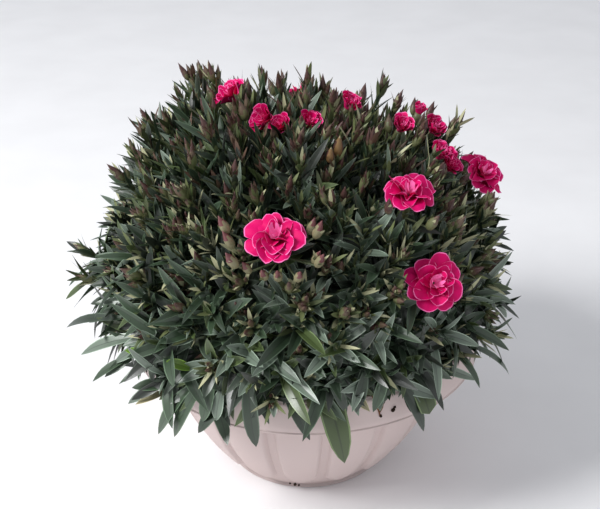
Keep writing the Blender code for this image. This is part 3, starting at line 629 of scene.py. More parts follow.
def reach(direction, mound):
    """Distance from the crown to the mound's outline.

    A squarish ellipsoid, (across^p + along^p)^(-1/p), swollen by a bell curve round each tuft.
    """
    height = np.where(direction[..., 2] > 0.0, mound.height, mound.drop)
    across = np.hypot(direction[..., 0], direction[..., 1]) / mound.radius
    along = np.abs(direction[..., 2]) / height
    plain = (across ** DOME_SQUARENESS + along ** DOME_SQUARENESS) ** (-1.0 / DOME_SQUARENESS)
    return plain * bells(direction, TUFTS, 1.0)


def growth(direction, mound):
    """How far the finer growth comes: the mound's reach, less a bell curve round each hollow."""
    return reach(direction, mound) * bells(direction, HOLLOWS, -1.0)


def mass_axes():
    """The axis of each mass, ring by ring from the rim to the top."""
    axes = []
    for count, elevation, first in RINGS:
        azimuth = first + math.tau * np.arange(count) / count
        axes.append(bearing(azimuth, np.full(count, elevation)))
    return np.concatenate(axes)


# ---------------------------------------------------------------- meshes

def grid_faces(rows, columns, wrap=False, foot=False, tip=False):
    """Faces of one grid: four-sided between rows, three-sided to a foot point and a tip point.

    Corners count row by row; the foot point and then the tip point come after them. Wrap joins
    the last column to the first. Gives both kinds of faces, each with its row and its column.
    """
    across = columns if wrap else columns - 1
    row, column = (index.ravel() for index in np.indices((rows - 1, across)))
    after = (column + 1) % columns
    low, high = row * columns, (row + 1) * columns
    quads = np.stack([low + column, low + after, high + after, high + column], axis=1)
    edge = np.arange(across)
    beyond = (edge + 1) % columns
    caps, places = [], []
    if foot:
        caps.append(np.stack([beyond, edge, np.full(across, rows * columns)], axis=1))
        places.append(np.stack([np.full(across, -1), edge], axis=1))
    if tip:
        last = (rows - 1) * columns
        point = np.full(across, rows * columns + int(foot))
        caps.append(np.stack([last + edge, last + beyond, point], axis=1))
        places.append(np.stack([np.full(across, rows - 1), edge], axis=1))
    triangles = np.concatenate(caps) if caps else np.zeros((0, 3), int)
    spots = np.concatenate(places) if places else np.zeros((0, 2), int)
    return quads, np.stack([row, column], axis=1), triangles, spots


def make_mesh(name, points, finishes, faces, rule=None):
    """A smooth mesh of many like bodies: the faces of one, repeated over (body, point, 3) points.

    Rule gives the number of the finish from the arrays of a face's row and its column.
    """
    quads, quad_places, triangles, triangle_places = faces
    bodies, size = points.shape[:2]
    first = (np.arange(bodies) * size)[:, None, None]
    corners = [(part[None] + first).reshape(-1, part.shape[1]) for part in (quads, triangles)]
    sizes = np.concatenate([np.full(len(part), part.shape[1]) for part in corners])
    finish = np.zeros(len(sizes), np.int32)
    if rule:
        one = [rule(place[:, 0], place[:, 1]) for place in (quad_places, triangle_places)]
        finish = np.concatenate([np.tile(part, bodies) for part in one]).astype(np.int32)
    mesh = bpy.data.meshes.new(name)
    mesh.vertices.add(bodies * size)
    mesh.vertices.foreach_set("co", points.astype(np.float32).ravel())
    mesh.loops.add(int(sizes.sum()))
    mesh.loops.foreach_set(
        "vertex_index", np.concatenate([part.ravel() for part in corners]).astype(np.int32))
    mesh.polygons.add(len(sizes))
    starts = np.concatenate(([0], np.cumsum(sizes)[:-1])).astype(np.int32)
    mesh.polygons.foreach_set("loop_start", starts)
    for material in finishes:
        mesh.materials.append(material)
    mesh.polygons.foreach_set("material_index", finish)
    mesh.polygons.foreach_set("use_smooth", np.ones(len(sizes), bool))
    mesh.update(calc_edges=True)
    mesh.validate()
    return mesh


def dress(name, mesh, nodes=()):
    """The mesh as a piece of the plant: it rides on the body and stands for the nodes."""
    piece = bpy.data.objects.new(name, mesh)
    bpy.context.scene.collection.objects.link(piece)
    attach(piece, BODY)
    if nodes:
        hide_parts(*nodes)
    return piece


def tube_points(path, radius, sides, relief=None):
    """Closed tubes along (body, station, 3) paths: rings of the radius, with a foot and a tip.

    A ring's point is path + radius (X cos a + Y sin a), where X and Y stand square to the path.
    Relief, of the shape of the rings, is added to the radius.
    """
    along = unit(np.gradient(path, axis=1))
    reference = upright(unit(path[:, -1:] - path[:, :1]))
    side = unit(reference - along * dot(reference, along))
    other = np.cross(along, side)
    angle = math.tau * np.arange(sides) / sides
    ring = radius[..., None] if relief is None else radius[..., None] + relief
    ring = np.broadcast_to(ring, radius.shape + (sides,))[..., None]
    points = path[:, :, None] + ring * (
        side[:, :, None] * np.cos(angle)[:, None] + other[:, :, None] * np.sin(angle)[:, None])
    ends = np.stack([path[:, 0], path[:, -1]], axis=1)
    return np.concatenate([points.reshape(len(path), -1, 3), ends], axis=1)


def revolved_points(radius, height, turn):
    """One closed grid about Z from (row, column) radii and heights, with a foot and a tip."""
    height = np.broadcast_to(height, radius.shape)
    points = np.stack([radius * np.cos(turn), radius * np.sin(turn), height], axis=-1)
    ends = np.array([[0.0, 0.0, height[0, 0]], [0.0, 0.0, height[-1, 0]]])
    return np.concatenate([points.reshape(-1, 3), ends])[None]


def tubes(name, path, radius, sides, look, nodes=(), relief=None):
    """A piece of closed tubes along (body, station, 3) paths."""
    faces = grid_faces(path.shape[1], sides, wrap=True, foot=True, tip=True)
    mesh = make_mesh(name, tube_points(path, radius, sides, relief), [look], faces)
    dress(name, mesh, nodes)


def revolved(name, radius, height, turn, look, nodes, foot=0.0):
    """A piece of one closed grid about Z, moved to its foot."""
    faces = grid_faces(*radius.shape, wrap=True, foot=True, tip=True)
    mesh = make_mesh(name, revolved_points(radius, height, turn) + foot, [look], faces)
    dress(name, mesh, nodes)


def arc(centre, radius, start, end, count):
    """Points (radius, height) on an arc of the profile, with angles in degrees."""
    angle = np.radians(np.linspace(start, end, count))
    return centre + radius * np.stack([np.cos(angle), np.sin(angle)], axis=1)


def wall_radius(bowl, height):
    """Radius of the bowl's wall: from the foot's to the top's as 1 - (1 - share)^bulge."""
    share = height / (bowl.height - bowl.rim_band)
    return bowl.foot_radius + (bowl.wall_top - bowl.foot_radius) * (1 - (1 - share) ** WALL_BULGE)


# ---------------------------------------------------------------- materials

MOTTLE_INPUTS = {
    "Colour": None, "Fleck size": 200.0, "Darker": 0.75, "Lighter": 1.25, "Roughness": 0.5,
    "Relief": 0.1,
}
MOTTLE_OUTPUTS = {
    "Colour": "NodeSocketColor", "Roughness": "NodeSocketFloat", "Normal": "NodeSocketVector",
}
MOTTLE_NODES = {
    "given": "NodeGroupInput",
    "put": "NodeGroupOutput",
    "place": "ShaderNodeTexCoord",
    "broad": "ShaderNodeTexNoise",
    "fine": "ShaderNodeTexNoise",
    "finer": "ShaderNodeMath",
    "level": "ShaderNodeMapRange",
    "scale": "ShaderNodeVectorMath",
    "rough": "ShaderNodeMath",
    "less": "ShaderNodeMath",
    "bump": "ShaderNodeBump",
}
MOTTLE_OPERATIONS = {
    "finer": "MULTIPLY", "scale": "SCALE", "rough": "MULTIPLY_ADD", "less": "SUBTRACT",
}
# Node, input and value: the roughness strays by 0.16 round its own, and the bump is 0.4 mm high
MOTTLE_VALUES = (
    ("broad", "Detail", 3.0),
    ("fine", "Detail", 2.0),
    ("finer", 1, 6.0),
    ("level", "From Min", 0.32),
    ("level", "From Max", 0.68),
    ("rough", 1, 0.16),
    ("less", 1, 0.08),
    ("bump", "Distance", 0.0004),
)
# Node and output, node and input
MOTTLE_LINKS = (
    ("place", "Object", "broad", "Vector"),
    ("place", "Object", "fine", "Vector"),
    ("given", "Fleck size", "broad", "Scale"),
    ("given", "Fleck size", "finer", 0),
    ("finer", 0, "fine", "Scale"),
    ("broad", "Fac", "level", "Value"),
    ("given", "Darker", "level", "To Min"),
    ("given", "Lighter", "level", "To Max"),
    ("given", "Colour", "scale", 0),
    ("level", "Result", "scale", "Scale"),
    ("scale", "Vector", "put", "Colour"),
    ("fine", "Fac", "rough", 0),
    ("given", "Roughness", "less", 0),
    ("less", 0, "rough", 2),
    ("rough", 0, "put", "Roughness"),
    ("fine", "Fac", "bump", "Height"),
    ("given", "Relief", "bump", "Strength"),
    ("bump", "Normal", "put", "Normal"),
)


def mottle_group():
    """Node group: a colour that strays lighter and darker in soft flecks, with fine relief."""
    name = "soft_mottle"
    if name in bpy.data.node_groups:
        return bpy.data.node_groups[name]
    tree = bpy.data.node_groups.new(name, "ShaderNodeTree")
    for label, value in MOTTLE_INPUTS.items():
        kind = "NodeSocketColor" if value is None else "NodeSocketFloat"
        socket = tree.interface.new_socket(name=label, in_out="INPUT", socket_type=kind)
        if value is not None:
            socket.default_value = value
    for label, kind in MOTTLE_OUTPUTS.items():
        tree.interface.new_socket(name=label, in_out="OUTPUT", socket_type=kind)
    nodes = {key: tree.nodes.new(kind) for key, kind in MOTTLE_NODES.items()}
    for key, operation in MOTTLE_OPERATIONS.items():
        nodes[key].operation = operation
    for key, socket, value in MOTTLE_VALUES:
        nodes[key].inputs[socket].default_value = value
    for source, output, target, socket in MOTTLE_LINKS:
        tree.links.new(nodes[source].outputs[output], nodes[target].inputs[socket])
    return tree


def finish(name, colour, look):
    """A Principled material whose roughness and normal come from the mottle group, and its colour
    too where the colour strays.
    """
    if name in bpy.data.materials:
        return bpy.data.materials[name]
    material = bpy.data.materials.new(name)
    material.use_nodes = True
    material.diffuse_color = (*colour, 1.0)
    nodes, links = material.node_tree.nodes, material.node_tree.links
    shader = nodes["Principled BSDF"]
    mottle = nodes.new("ShaderNodeGroup")
    mottle.node_tree = mottle_group()
    roughness, flecks, stray, relief, specular, sheen, haze = look
    values = (
        (shader, "Specular IOR Level", specular),
        (shader, "Sheen Weight", sheen),
        (shader, "Sheen Roughness", SHEEN_ROUGHNESS),
        (shader, "Sheen Tint", (*haze, 1.0)),
        (mottle, "Colour", (*colour, 1.0)),
        (mottle, "Fleck size", flecks),
        (mottle, "Darker", 1.0 - stray),
        (mottle, "Lighter", 1.0 + stray),
        (mottle, "Roughness", roughness),
        (mottle, "Relief", relief),
    )
    for node, socket, value in values:
        node.inputs[socket].default_value = value
    if stray:
        links.new(mottle.outputs["Colour"], shader.inputs["Base Color"])
    else:
        shader.inputs["Base Color"].default_value = (*colour, 1.0)
    for socket in ("Roughness", "Normal"):
        links.new(mottle.outputs[socket], shader.inputs[socket])
    return material


def bud_finish(name, colour, roughness):
    """Smooth skin of buds, bracts and flower tubes, in one plain colour."""
    return finish(name, colour, (roughness, *BUD_SKIN))


def ramp(values, low, high):
    """How far the values have come from low to high, from 0 to 1."""
    return np.clip((values - low) / (high - low), 0.0, 1.0)


# ---------------------------------------------------------------- growth

class Shoots:
    """The shoots of the mound, one row each: curve, elevation, kind and the draw of its spray."""

    keys = ("root", "bend", "tip", "leafy", "head", "tall")

    def __init__(self, *columns):
        for key, column in zip(self.keys, columns):
            setattr(self, key, column)
        away = unit(self.tip - CROWN)
        self.elevation = np.degrees(np.arcsin(np.clip(away[:, 2], -1.0, 1.0)))

    def pick(self, rows):
        """Only the shoots of these rows, which may repeat."""
        return Shoots(*(getattr(self, key)[rows] for key in self.keys))

    def curve(self, share):
        """Root, bend and tip of the curves, shaped to go with an array of shares."""
        shape = (-1, *[1] * (share.ndim - 1), 3)
        return [part.reshape(shape) for part in (self.root, self.bend, self.tip)]

    def at(self, share):
        """Points on the curves: (1-s)^2 root + 2 s (1-s) bend + s^2 tip."""
        root, bend, tip = self.curve(share)
        share = share[..., None]
        return (1 - share) ** 2 * root + 2 * share * (1 - share) * bend + share ** 2 * tip

    def heading(self, share):
        """Unit vectors along the curves: (1-s) (bend - root) + s (tip - bend)."""
        root, bend, tip = self.curve(share)
        share = share[..., None]
        return unit((1 - share) * (bend - root) + share * (tip - bend))

    def share_below(self, distance):
        """The share of the curve at a distance below the tip, by its speed at the tip."""
        speed = 2.0 * np.linalg.norm(self.tip - self.bend, axis=-1)
        speed = speed.reshape(len(speed), *[1] * (distance.ndim - 1))
        return np.clip(1.0 - distance / speed, LOWEST_SHARE, 1.0)


def bloom_places(mound):
    """Centre and face of each bloom, at its share of the mound's reach."""
    places = toward(BLOOM_PLACES)
    centre = CROWN + places * (reach(places, mound) * BLOOM_SHARES)[:, None]
    return centre, toward(BLOOM_FACES)


def spread_bearings(mound, rng):
    """Bearings of the shoots: an even spiral by the golden angle over the dome, and a rim ring.

    None stands where a bloom or a tall shoot does.
    """
    index = np.arange(mound.shoots)
    low = math.sin(LOWEST_SHOOT)
    height = low + (1.0 - low) * (index + 0.5) / mound.shoots
    azimuth = index * GOLDEN + rng.uniform(*AZIMUTH_STRAY, mound.shoots)
    dome = bearing(azimuth, np.arcsin(height) + rng.uniform(*ELEVATION_STRAY, mound.shoots))
    ring = np.arange(mound.rim_shoots) + rng.uniform(0.1, 0.9, mound.rim_shoots)
    rim = bearing(math.tau * ring / mound.rim_shoots,
                  rng.uniform(*RIM_ELEVATIONS, mound.rim_shoots))
    direction = unit(np.concatenate([dome, rim]))
    tip = CROWN + direction * growth(direction, mound)[:, None]
    apart = np.linalg.norm(tip[:, None] - bloom_places(mound)[0][None], axis=-1)
    room = 0.5 * BLOOM_WIDTHS * (1.0 - 0.5 * BLOOM_CLOSED) + BLOOM_ROOM
    direction = direction[np.all(apart > room, axis=1)]
    return direction[np.all(direction @ toward(CREST).T < CREST_ROOM, axis=1)]


def grow_shoots(mound):
    """The shoots: the spread ones, the tall ones of the crest, and one under each bloom.

    A shoot leaves the stem of the mass whose axis is nearest and bends out to its tip, at its
    share of the mound's reach.
    """
    rng = np.random.default_rng(mound.seed)
    direction = spread_bearings(mound, rng)
    plain, tall = len(direction), len(CREST)
    head = np.concatenate([np.full(plain + tall, -1), np.arange(len(BLOOMS))])
    direction = np.concatenate([direction, toward(CREST), toward(BLOOM_PLACES)])
    count = len(direction)
    steep = np.degrees(np.arcsin(np.clip(direction[:, 2], -1.0, 1.0)))
    leafy = rng.random(count) < np.interp(steep, LEAFY_ELEVATIONS, LEAFY_SHARES)
    leafy[plain:] = False
    share = np.where(leafy, rng.uniform(*LEAFY_TIPS, count), rng.uniform(*BUDDED_TIPS, count))
    share += UNEVEN_TIPS * ripples(direction, TIP_RIPPLES, mound.seed + 6)
    share[plain:plain + tall] = CREST[:, 2]
    share = np.where(head >= 0, BLOOM_SHARES[head], share)
    length = np.where(np.arange(count) < plain, growth(direction, mound), reach(direction, mound))
    tip = CROWN + direction * (length * share)[:, None]
    axes = mass_axes()
    axis = axes[np.argmax(direction @ axes.T, axis=1)]
    fork = length * rng.uniform(LOWEST_FORK, STEM_END_SHARE, count)
    root = CROWN + axis * np.maximum(fork, BOUGH_END + FORK_PAST_BOUGH)[:, None]
    lean = np.interp(steep, LEAN_ELEVATIONS, LEANS) * rng.uniform(*LEAN_DRAW, count)
    heading = unit(direction + lean[:, None] * UP + rng.normal(0.0, HEADING_STRAY, (count, 3)))
    bend = tip - heading * (length * rng.uniform(*BEND_SHARES, count))[:, None]
    return Shoots(root, bend, tip, leafy, head, np.arange(count) >= plain)


def keeps_clear(points, mound, tall):
    """Which (body, point, 3) shapes keep inside the mound, over the hem, off bowl and blooms.

    A shape of a tall shoot may fill the hollows of the finer growth.
    """
    away = points - CROWN
    limit = np.where(tall[:, None], reach(unit(away), mound), growth(unit(away), mound))
    inside = np.linalg.norm(away, axis=-1) <= limit * OUTER_SHARE
    inside &= points[..., 2] > np.interp(azimuths(points), HEM_AZIMUTHS, HEM_HEIGHTS)
    inside &= np.all((points > BOX_LOW) & (points < BOX_HIGH), axis=-1)
    over = points[..., 2] > POT_TOP.z + RIM_CLEARANCE
    inside &= over | (np.hypot(points[..., 0], points[..., 1]) > POT_TOP.x + RIM_CLEARANCE)
    radii = (OPEN_RADIUS - CLOSED_LESS * BLOOM_CLOSED) * BLOOM_WIDTHS
    for centre, face, radius in zip(*bloom_places(mound), radii):
        off = points - centre
        lift = off @ face
        wide = np.linalg.norm(off - lift[..., None] * face, axis=-1)
        inside &= (wide > radius) | (lift < BLOOM_UNDER) | (lift > BLOOM_OVER)
    return np.all(inside, axis=1)


def blade_points(leaf, rows, columns):
    """Leaf blades on a grid of stations along them and columns across, with one point at the tip.

    The direction turns from the shoot: cos a axis + sin a side, with a = opening + arch t, less
    droop t straight down; the midline is its running sum. The width grows from its base share as
    the sine of a quarter turn up to the widest place w, then falls as 1 - ((t - w)/(1 - w))^sharp,
    and the two halves fold up towards the face.
    """
    share = 1.0 - (1.0 - np.linspace(0.0, 1.0, rows + 1)) ** ROW_BUNCHING
    opening, arch, droop, twist, opened, width = (
        leaf[key][:, None] for key in ("opening", "arch", "droop", "twist", "fold", "width"))

    def heading(t):
        """Unit vectors along the midline at shares t of its length."""
        angle = opening + arch * t
        lie = (np.cos(angle)[..., None] * leaf["axis"][:, None]
               + np.sin(angle)[..., None] * leaf["side"][:, None])
        lie[..., 2] -= droop * t * np.sin(leaf["opening"])[:, None]
        return unit(lie)

    steps = heading((share[1:] + share[:-1]) / 2) * np.diff(share)[:, None]
    steps = steps * leaf["length"][:, None, None]
    midline = leaf["root"][:, None] + np.concatenate(
        [np.zeros_like(steps[:, :1]), np.cumsum(steps, axis=1)], axis=1)
    lie = heading(share)
    face = unit(leaf["axis"][:, None] - lie * dot(leaf["axis"][:, None], lie))
    across = np.cross(lie, face)
    cosine, sine = (turn((twist * share)[..., None]) for turn in (np.cos, np.sin))
    face, across = face * cosine + across * sine, across * cosine - face * sine
    rise = np.sin(0.5 * math.pi * np.minimum(1.0, share / WIDEST))
    past = np.maximum(0.0, (share - WIDEST) / (1.0 - WIDEST))
    sharp = leaf.get("sharp", np.array([POINTED]))[:, None]
    half = width / 2 * (BLADE_BASE + (1.0 - BLADE_BASE) * rise) * (1.0 - past ** sharp)
    fold = (opened * (1.0 - FLATTER_TIP * share))[..., None]
    half = half[..., None]
    wide = half * np.cos(fold) * columns
    lift = half * np.sin(fold) * np.abs(columns)
    points = (midline[:, :, None] + across[:, :, None] * wide[..., None]
              + face[:, :, None] * lift[..., None])
    grid = points[:, :-1].reshape(len(points), -1, 3)
    return np.concatenate([grid, midline[:, -1:]], axis=1)


def fitted_blades(leaf, mound, rows, columns):
    """Blade points of the leaves that fit, each shortened as far as it has to be, and which."""
    points = blade_points(leaf, rows, columns)
    fits = keeps_clear(points, mound, leaf["tall"])
    for shrink in SHORTER_TRIES:
        rest = np.flatnonzero(~fits)
        if not len(rest):
            break
        part = {key: value[rest] for key, value in leaf.items()}
        part["length"] = part["length"] * shrink
        part["width"] = part["width"] * (0.5 + 0.5 * shrink)
        points[rest] = blade_points(part, rows, columns)
        fits[rest] = keeps_clear(points[rest], mound, part["tall"])
    return points[fits], fits


def zone_values(elevation, table):
    """Values between those of the three zones, for each shoot, by its elevation."""
    weights = np.stack([np.interp(elevation, ZONES, np.eye(3)[zone]) for zone in range(3)], axis=1)
    return np.tensordot(weights, np.array(table), axes=1)


def opposite(root, axis, roll):
    """Roots, axes and sides of both leaves of (shoot, pair) pairs, a half turn apart."""
    side = turned(upright(axis), axis, roll[..., None])
    both = side[:, :, None] * np.array([1.0, -1.0])[:, None]
    return [np.repeat(root.reshape(-1, 3), 2, axis=0), np.repeat(axis.reshape(-1, 3), 2, axis=0),
            both.reshape(-1, 3)]


def shoot_leaves(shoots, rng):
    """The opposite leaf pairs of every shoot, each pair a quarter turn on from the last."""
    table = zone_values(shoots.elevation, (SKIRT_PAIRS, SIDE_PAIRS, TOP_PAIRS))
    table = table * np.where(shoots.leafy[:, None, None], np.array(LEAFY_FACTORS), 1.0)
    middle, width, less = FINE_SIDE
    away = (azimuths(shoots.tip - CROWN) - middle) / width
    table[..., 1:3] *= (1.0 - less * np.exp(-0.5 * away ** 2))[:, None, None]
    count, pairs = table.shape[:2]
    share = shoots.share_below(table[..., 0] * rng.uniform(*PAIR_STRAY, (count, pairs)))
    roll = rng.uniform(0.0, math.tau, (count, 1)) + np.arange(pairs) * math.pi / 2
    roll = roll + rng.normal(0.0, ROLL_STRAY, (count, pairs))
    root, axis, side = opposite(shoots.at(share), shoots.heading(share), roll)

    def spread(values, key):
        """The values of the pairs, times a draw of each leaf's own."""
        return (values[..., None] * rng.uniform(*LEAF_DRAWS[key], (count, pairs, 2))).ravel()

    droop = zone_values(shoots.elevation, DROOPS)[:, None] * np.ones((count, pairs))
    return {
        "root": root,
        "axis": axis,
        "side": side,
        "length": spread(table[..., 1], "length"),
        "width": spread(table[..., 2], "width"),
        "opening": np.radians(spread(table[..., 3], "opening")),
        "arch": np.radians(spread(table[..., 4], "arch")),
        "droop": spread(droop, "droop"),
        "twist": rng.normal(0.0, LEAF_TWIST, count * pairs * 2),
        "fold": np.radians(rng.uniform(*LEAF_FOLDS, count * pairs * 2)),
        "shoot": np.repeat(np.arange(count), pairs * 2),
        "tall": np.repeat(shoots.tall, pairs * 2),
    }


def single_leaves():
    """The table's single leaves: each an arc from its root to its tip, face up.

    An arc that turns by a has its chord at half the turn, and is chord (a/2)/sin(a/2) long.
    """
    table = np.array([row[:-1] for row in SINGLE_LEAVES], float)
    root, tip, width = table[:, :3] / 1000.0, table[:, 3:6] / 1000.0, table[:, 6] / 1000.0
    half = np.radians(table[:, 7]) / 2
    chord = np.linalg.norm(tip - root, axis=1)
    side = unit(tip - root)
    up = UP + unit(root * (1.0, 1.0, 0.0)) * LEAN_OUT
    count = len(table)
    return {
        "root": root, "axis": unit(up - side * dot(up, side)), "side": side,
        "length": chord * half / np.sin(half), "width": width,
        "opening": math.pi / 2 - half, "arch": 2.0 * half,
        "droop": np.zeros(count), "twist": np.zeros(count), "fold": np.full(count, SINGLE_FOLD),
        "sharp": table[:, 8],
    }


def shade_leaves(shoots, number, rng):
    """Plain leaves low on the twigs, which close the view into the mound; their near-black colour
    is painted shade.
    """
    part = shoots.pick(rng.integers(0, len(shoots.tip), number))
    share = rng.uniform(*SHADE_SHARES, number)
    axis = part.heading(share)
    leaf = {
        "root": part.at(share),
        "axis": axis,
        "side": turned(upright(axis), axis, rng.uniform(0.0, math.tau, (number, 1))),
        "tall": part.tall,
    }
    for key in ("length", "width", "opening", "arch", "droop"):
        leaf[key] = rng.uniform(*SHADE_DRAWS[key], number)
    leaf["twist"] = rng.normal(0.0, SHADE_TWIST, number)
    leaf["fold"] = np.radians(rng.uniform(*SHADE_FOLDS, number))
    for key in ("opening", "arch"):
        leaf[key] = np.radians(leaf[key])
    return leaf


class Buds:
    """Buds of all clusters, one row each: base, direction, length, width, shoot and pedicel."""

    keys = ("base", "along", "length", "width", "shoot", "start")

    def __init__(self, *columns):
        for key, column in zip(self.keys, columns):
            setattr(self, key, column)

    def pick(self, mask):
        """Only the buds of a mask."""
        return Buds(*(getattr(self, key)[mask] for key in self.keys))

    def points(self):
        """Pointed ovals: rings of the outline's radii up the axis, twisted a little, with ends."""
        side = upright(self.along)
        other = np.cross(self.along, side)
        angle = math.tau * np.arange(BUD_SIDES) / BUD_SIDES + BUD_TWIST * BUD_HEIGHTS[:, None]
        ring = (self.width / 2)[:, None] * BUD_RADII
        round_ = (side[:, None, None] * np.cos(angle)[..., None]
                  + other[:, None, None] * np.sin(angle)[..., None])
        up = self.along[:, None] * (self.length[:, None] * BUD_HEIGHTS)[..., None]
        points = self.base[:, None, None] + up[:, :, None] + round_ * ring[..., None, None]
        ends = np.stack([self.base, self.base + self.along * self.length[:, None]], axis=1)
        return np.concatenate([points.reshape(len(points), -1, 3), ends], axis=1)


def grow_buds(shoots, mound, rng):
    """A cluster on each budded shoot: one bud at the tip and some on short side stalks.

    They are slim at the top of the mound and tiny at its skirt. A bloom's companions stand in a
    fan under it: their turn is counted from straight downhill.
    """
    steep = ramp(shoots.elevation, *SLIM_ELEVATIONS)
    slim = 1.0 - SLIM_TOP * steep
    small = np.interp(shoots.elevation, SMALL_ELEVATIONS, SMALL_SIZES)
    heading = shoots.heading(np.ones(len(shoots.tip)))
    budded = np.flatnonzero(~shoots.leafy & (shoots.head < 0))
    length = rng.uniform(*MAIN_BUD["length"], len(budded)) * small[budded]
    along = unit(heading[budded] + rng.normal(0, HEADING_STRAY, (len(budded), 3)))
    width = length * rng.uniform(*MAIN_BUD["width"], len(budded)) * slim[budded]
    main = (shoots.tip[budded], along, length, width, budded,
            shoots.tip[budded] - heading[budded] * MAIN_STALK)
    flowering = np.flatnonzero(~shoots.leafy)
    headed = shoots.head[flowering] >= 0
    number = np.where(headed, COMPANIONS, rng.integers(*SIDE_NUMBER, len(flowering)))
    number[shoots.head[flowering] == 0] = FRONT_COMPANIONS
    shoot = np.repeat(flowering, number)
    count = len(shoot)
    headed = shoots.head[shoot] >= 0
    order = np.arange(count) - np.repeat(np.cumsum(number) - number, number)
    axis = heading[shoot]
    downhill = unit(-UP - axis * dot(np.broadcast_to(-UP, axis.shape), axis) + TINY)
    fan = (order + 0.5) / np.repeat(number, number) * 2.0 - 1.0
    turn = np.where(headed, fan * HALF_FAN, order * GOLDEN + shoot * SHOOT_TURN)
    turn = turn + rng.normal(0.0, TURN_STRAY, count)
    side = turned(np.where(headed[:, None], downhill, upright(axis)), axis, turn[:, None])
    size = np.where(headed, BLOOM_WIDTHS[shoots.head[shoot]], 0.0)

    def drawn(key):
        """A draw of the side bud's range and one of the companion's, and the one that holds."""
        plain = rng.uniform(*SIDE_BUD[key], count)
        return np.where(headed, rng.uniform(*COMPANION_BUD[key], count), plain)

    lean = np.radians(drawn("lean") - np.where(headed, 0.0, UPRIGHT_TOP * steep[shoot]))
    back = rng.uniform(*STALK_BACK, count) + size * BLOOM_BACK
    start = shoots.tip[shoot] - axis * back[:, None]
    stalk = rng.uniform(*STALK_LENGTH, count) + size * rng.uniform(*BLOOM_STALK, count)
    lie = unit(axis * np.cos(lean)[:, None] + side * np.sin(lean)[:, None])
    along = unit(lie + axis * 0.5 + UP * np.where(headed, COMPANION_RISE, 0.0)[:, None])
    length = drawn("length") * np.where(headed, 1.0, small[shoot])
    width = length * drawn("width") * np.where(headed, 1.0, slim[shoot])
    sides = (start + lie * stalk[:, None], along, length, width, shoot, start)
    both = Buds(*(np.concatenate(pair) for pair in zip(main, sides)))
    return both.pick(keeps_clear(both.points(), mound, shoots.tall[both.shoot]))


def grow_bracts(shoots, buds, rng):
    """Narrow bracts: pairs under each cluster, and three that clasp the foot of every bud."""
    flowering = np.flatnonzero(~shoots.leafy | (shoots.elevation > BRACTS_FROM))
    pairs, count = len(BRACT_DROPS), len(flowering)
    share = np.broadcast_to(1.0 - BRACT_DROPS / BRACT_CURVE, (count, pairs))
    part = shoots.pick(flowering)
    roll = rng.uniform(0.0, math.tau, (count, 1)) + np.arange(pairs) * SHOOT_TURN
    paired = opposite(part.at(share), part.heading(share), roll)
    total = count * pairs * 2
    steep = np.repeat(ramp(part.elevation, *UPRIGHT_ELEVATIONS), pairs * 2)
    clasp = len(buds.base) * CLASPS
    bud = np.repeat(np.arange(len(buds.base)), CLASPS)
    turn = np.arange(clasp) % CLASPS * math.tau / CLASPS + bud * CLASP_TURN
    grip = turned(upright(buds.along[bud]), buds.along[bud], turn[:, None])
    root, axis, side = (np.concatenate(both) for both in
                        zip(paired, (buds.base[bud], buds.along[bud], grip)))

    def drawn(key):
        """A draw for each bract of the pairs, and one for each that clasps a bud."""
        return rng.uniform(*PAIRED_BRACT[key], total), rng.uniform(*CLASPING_BRACT[key], clasp)

    long, clasp_long = drawn("length")
    width = np.concatenate(drawn("width"))
    opening, clasp_opening = drawn("opening")
    return {
        "root": root,
        "axis": axis,
        "side": side,
        "length": np.concatenate([long, buds.length[bud] * clasp_long]),
        "width": width,
        "opening": np.radians(np.concatenate([opening - UPRIGHT_BRACTS * steep, clasp_opening])),
        "arch": np.radians(np.concatenate(drawn("arch"))),
        "droop": np.zeros(total + clasp),
        "twist": rng.normal(0.0, BRACT_TWIST, total + clasp),
        "fold": np.radians(rng.uniform(*BRACT_FOLDS, total + clasp)),
        "shoot": np.concatenate([np.repeat(flowering, pairs * 2), buds.shoot[bud]]),
        "tall": np.concatenate([np.repeat(part.tall, pairs * 2), shoots.tall[buds.shoot[bud]]]),
    }


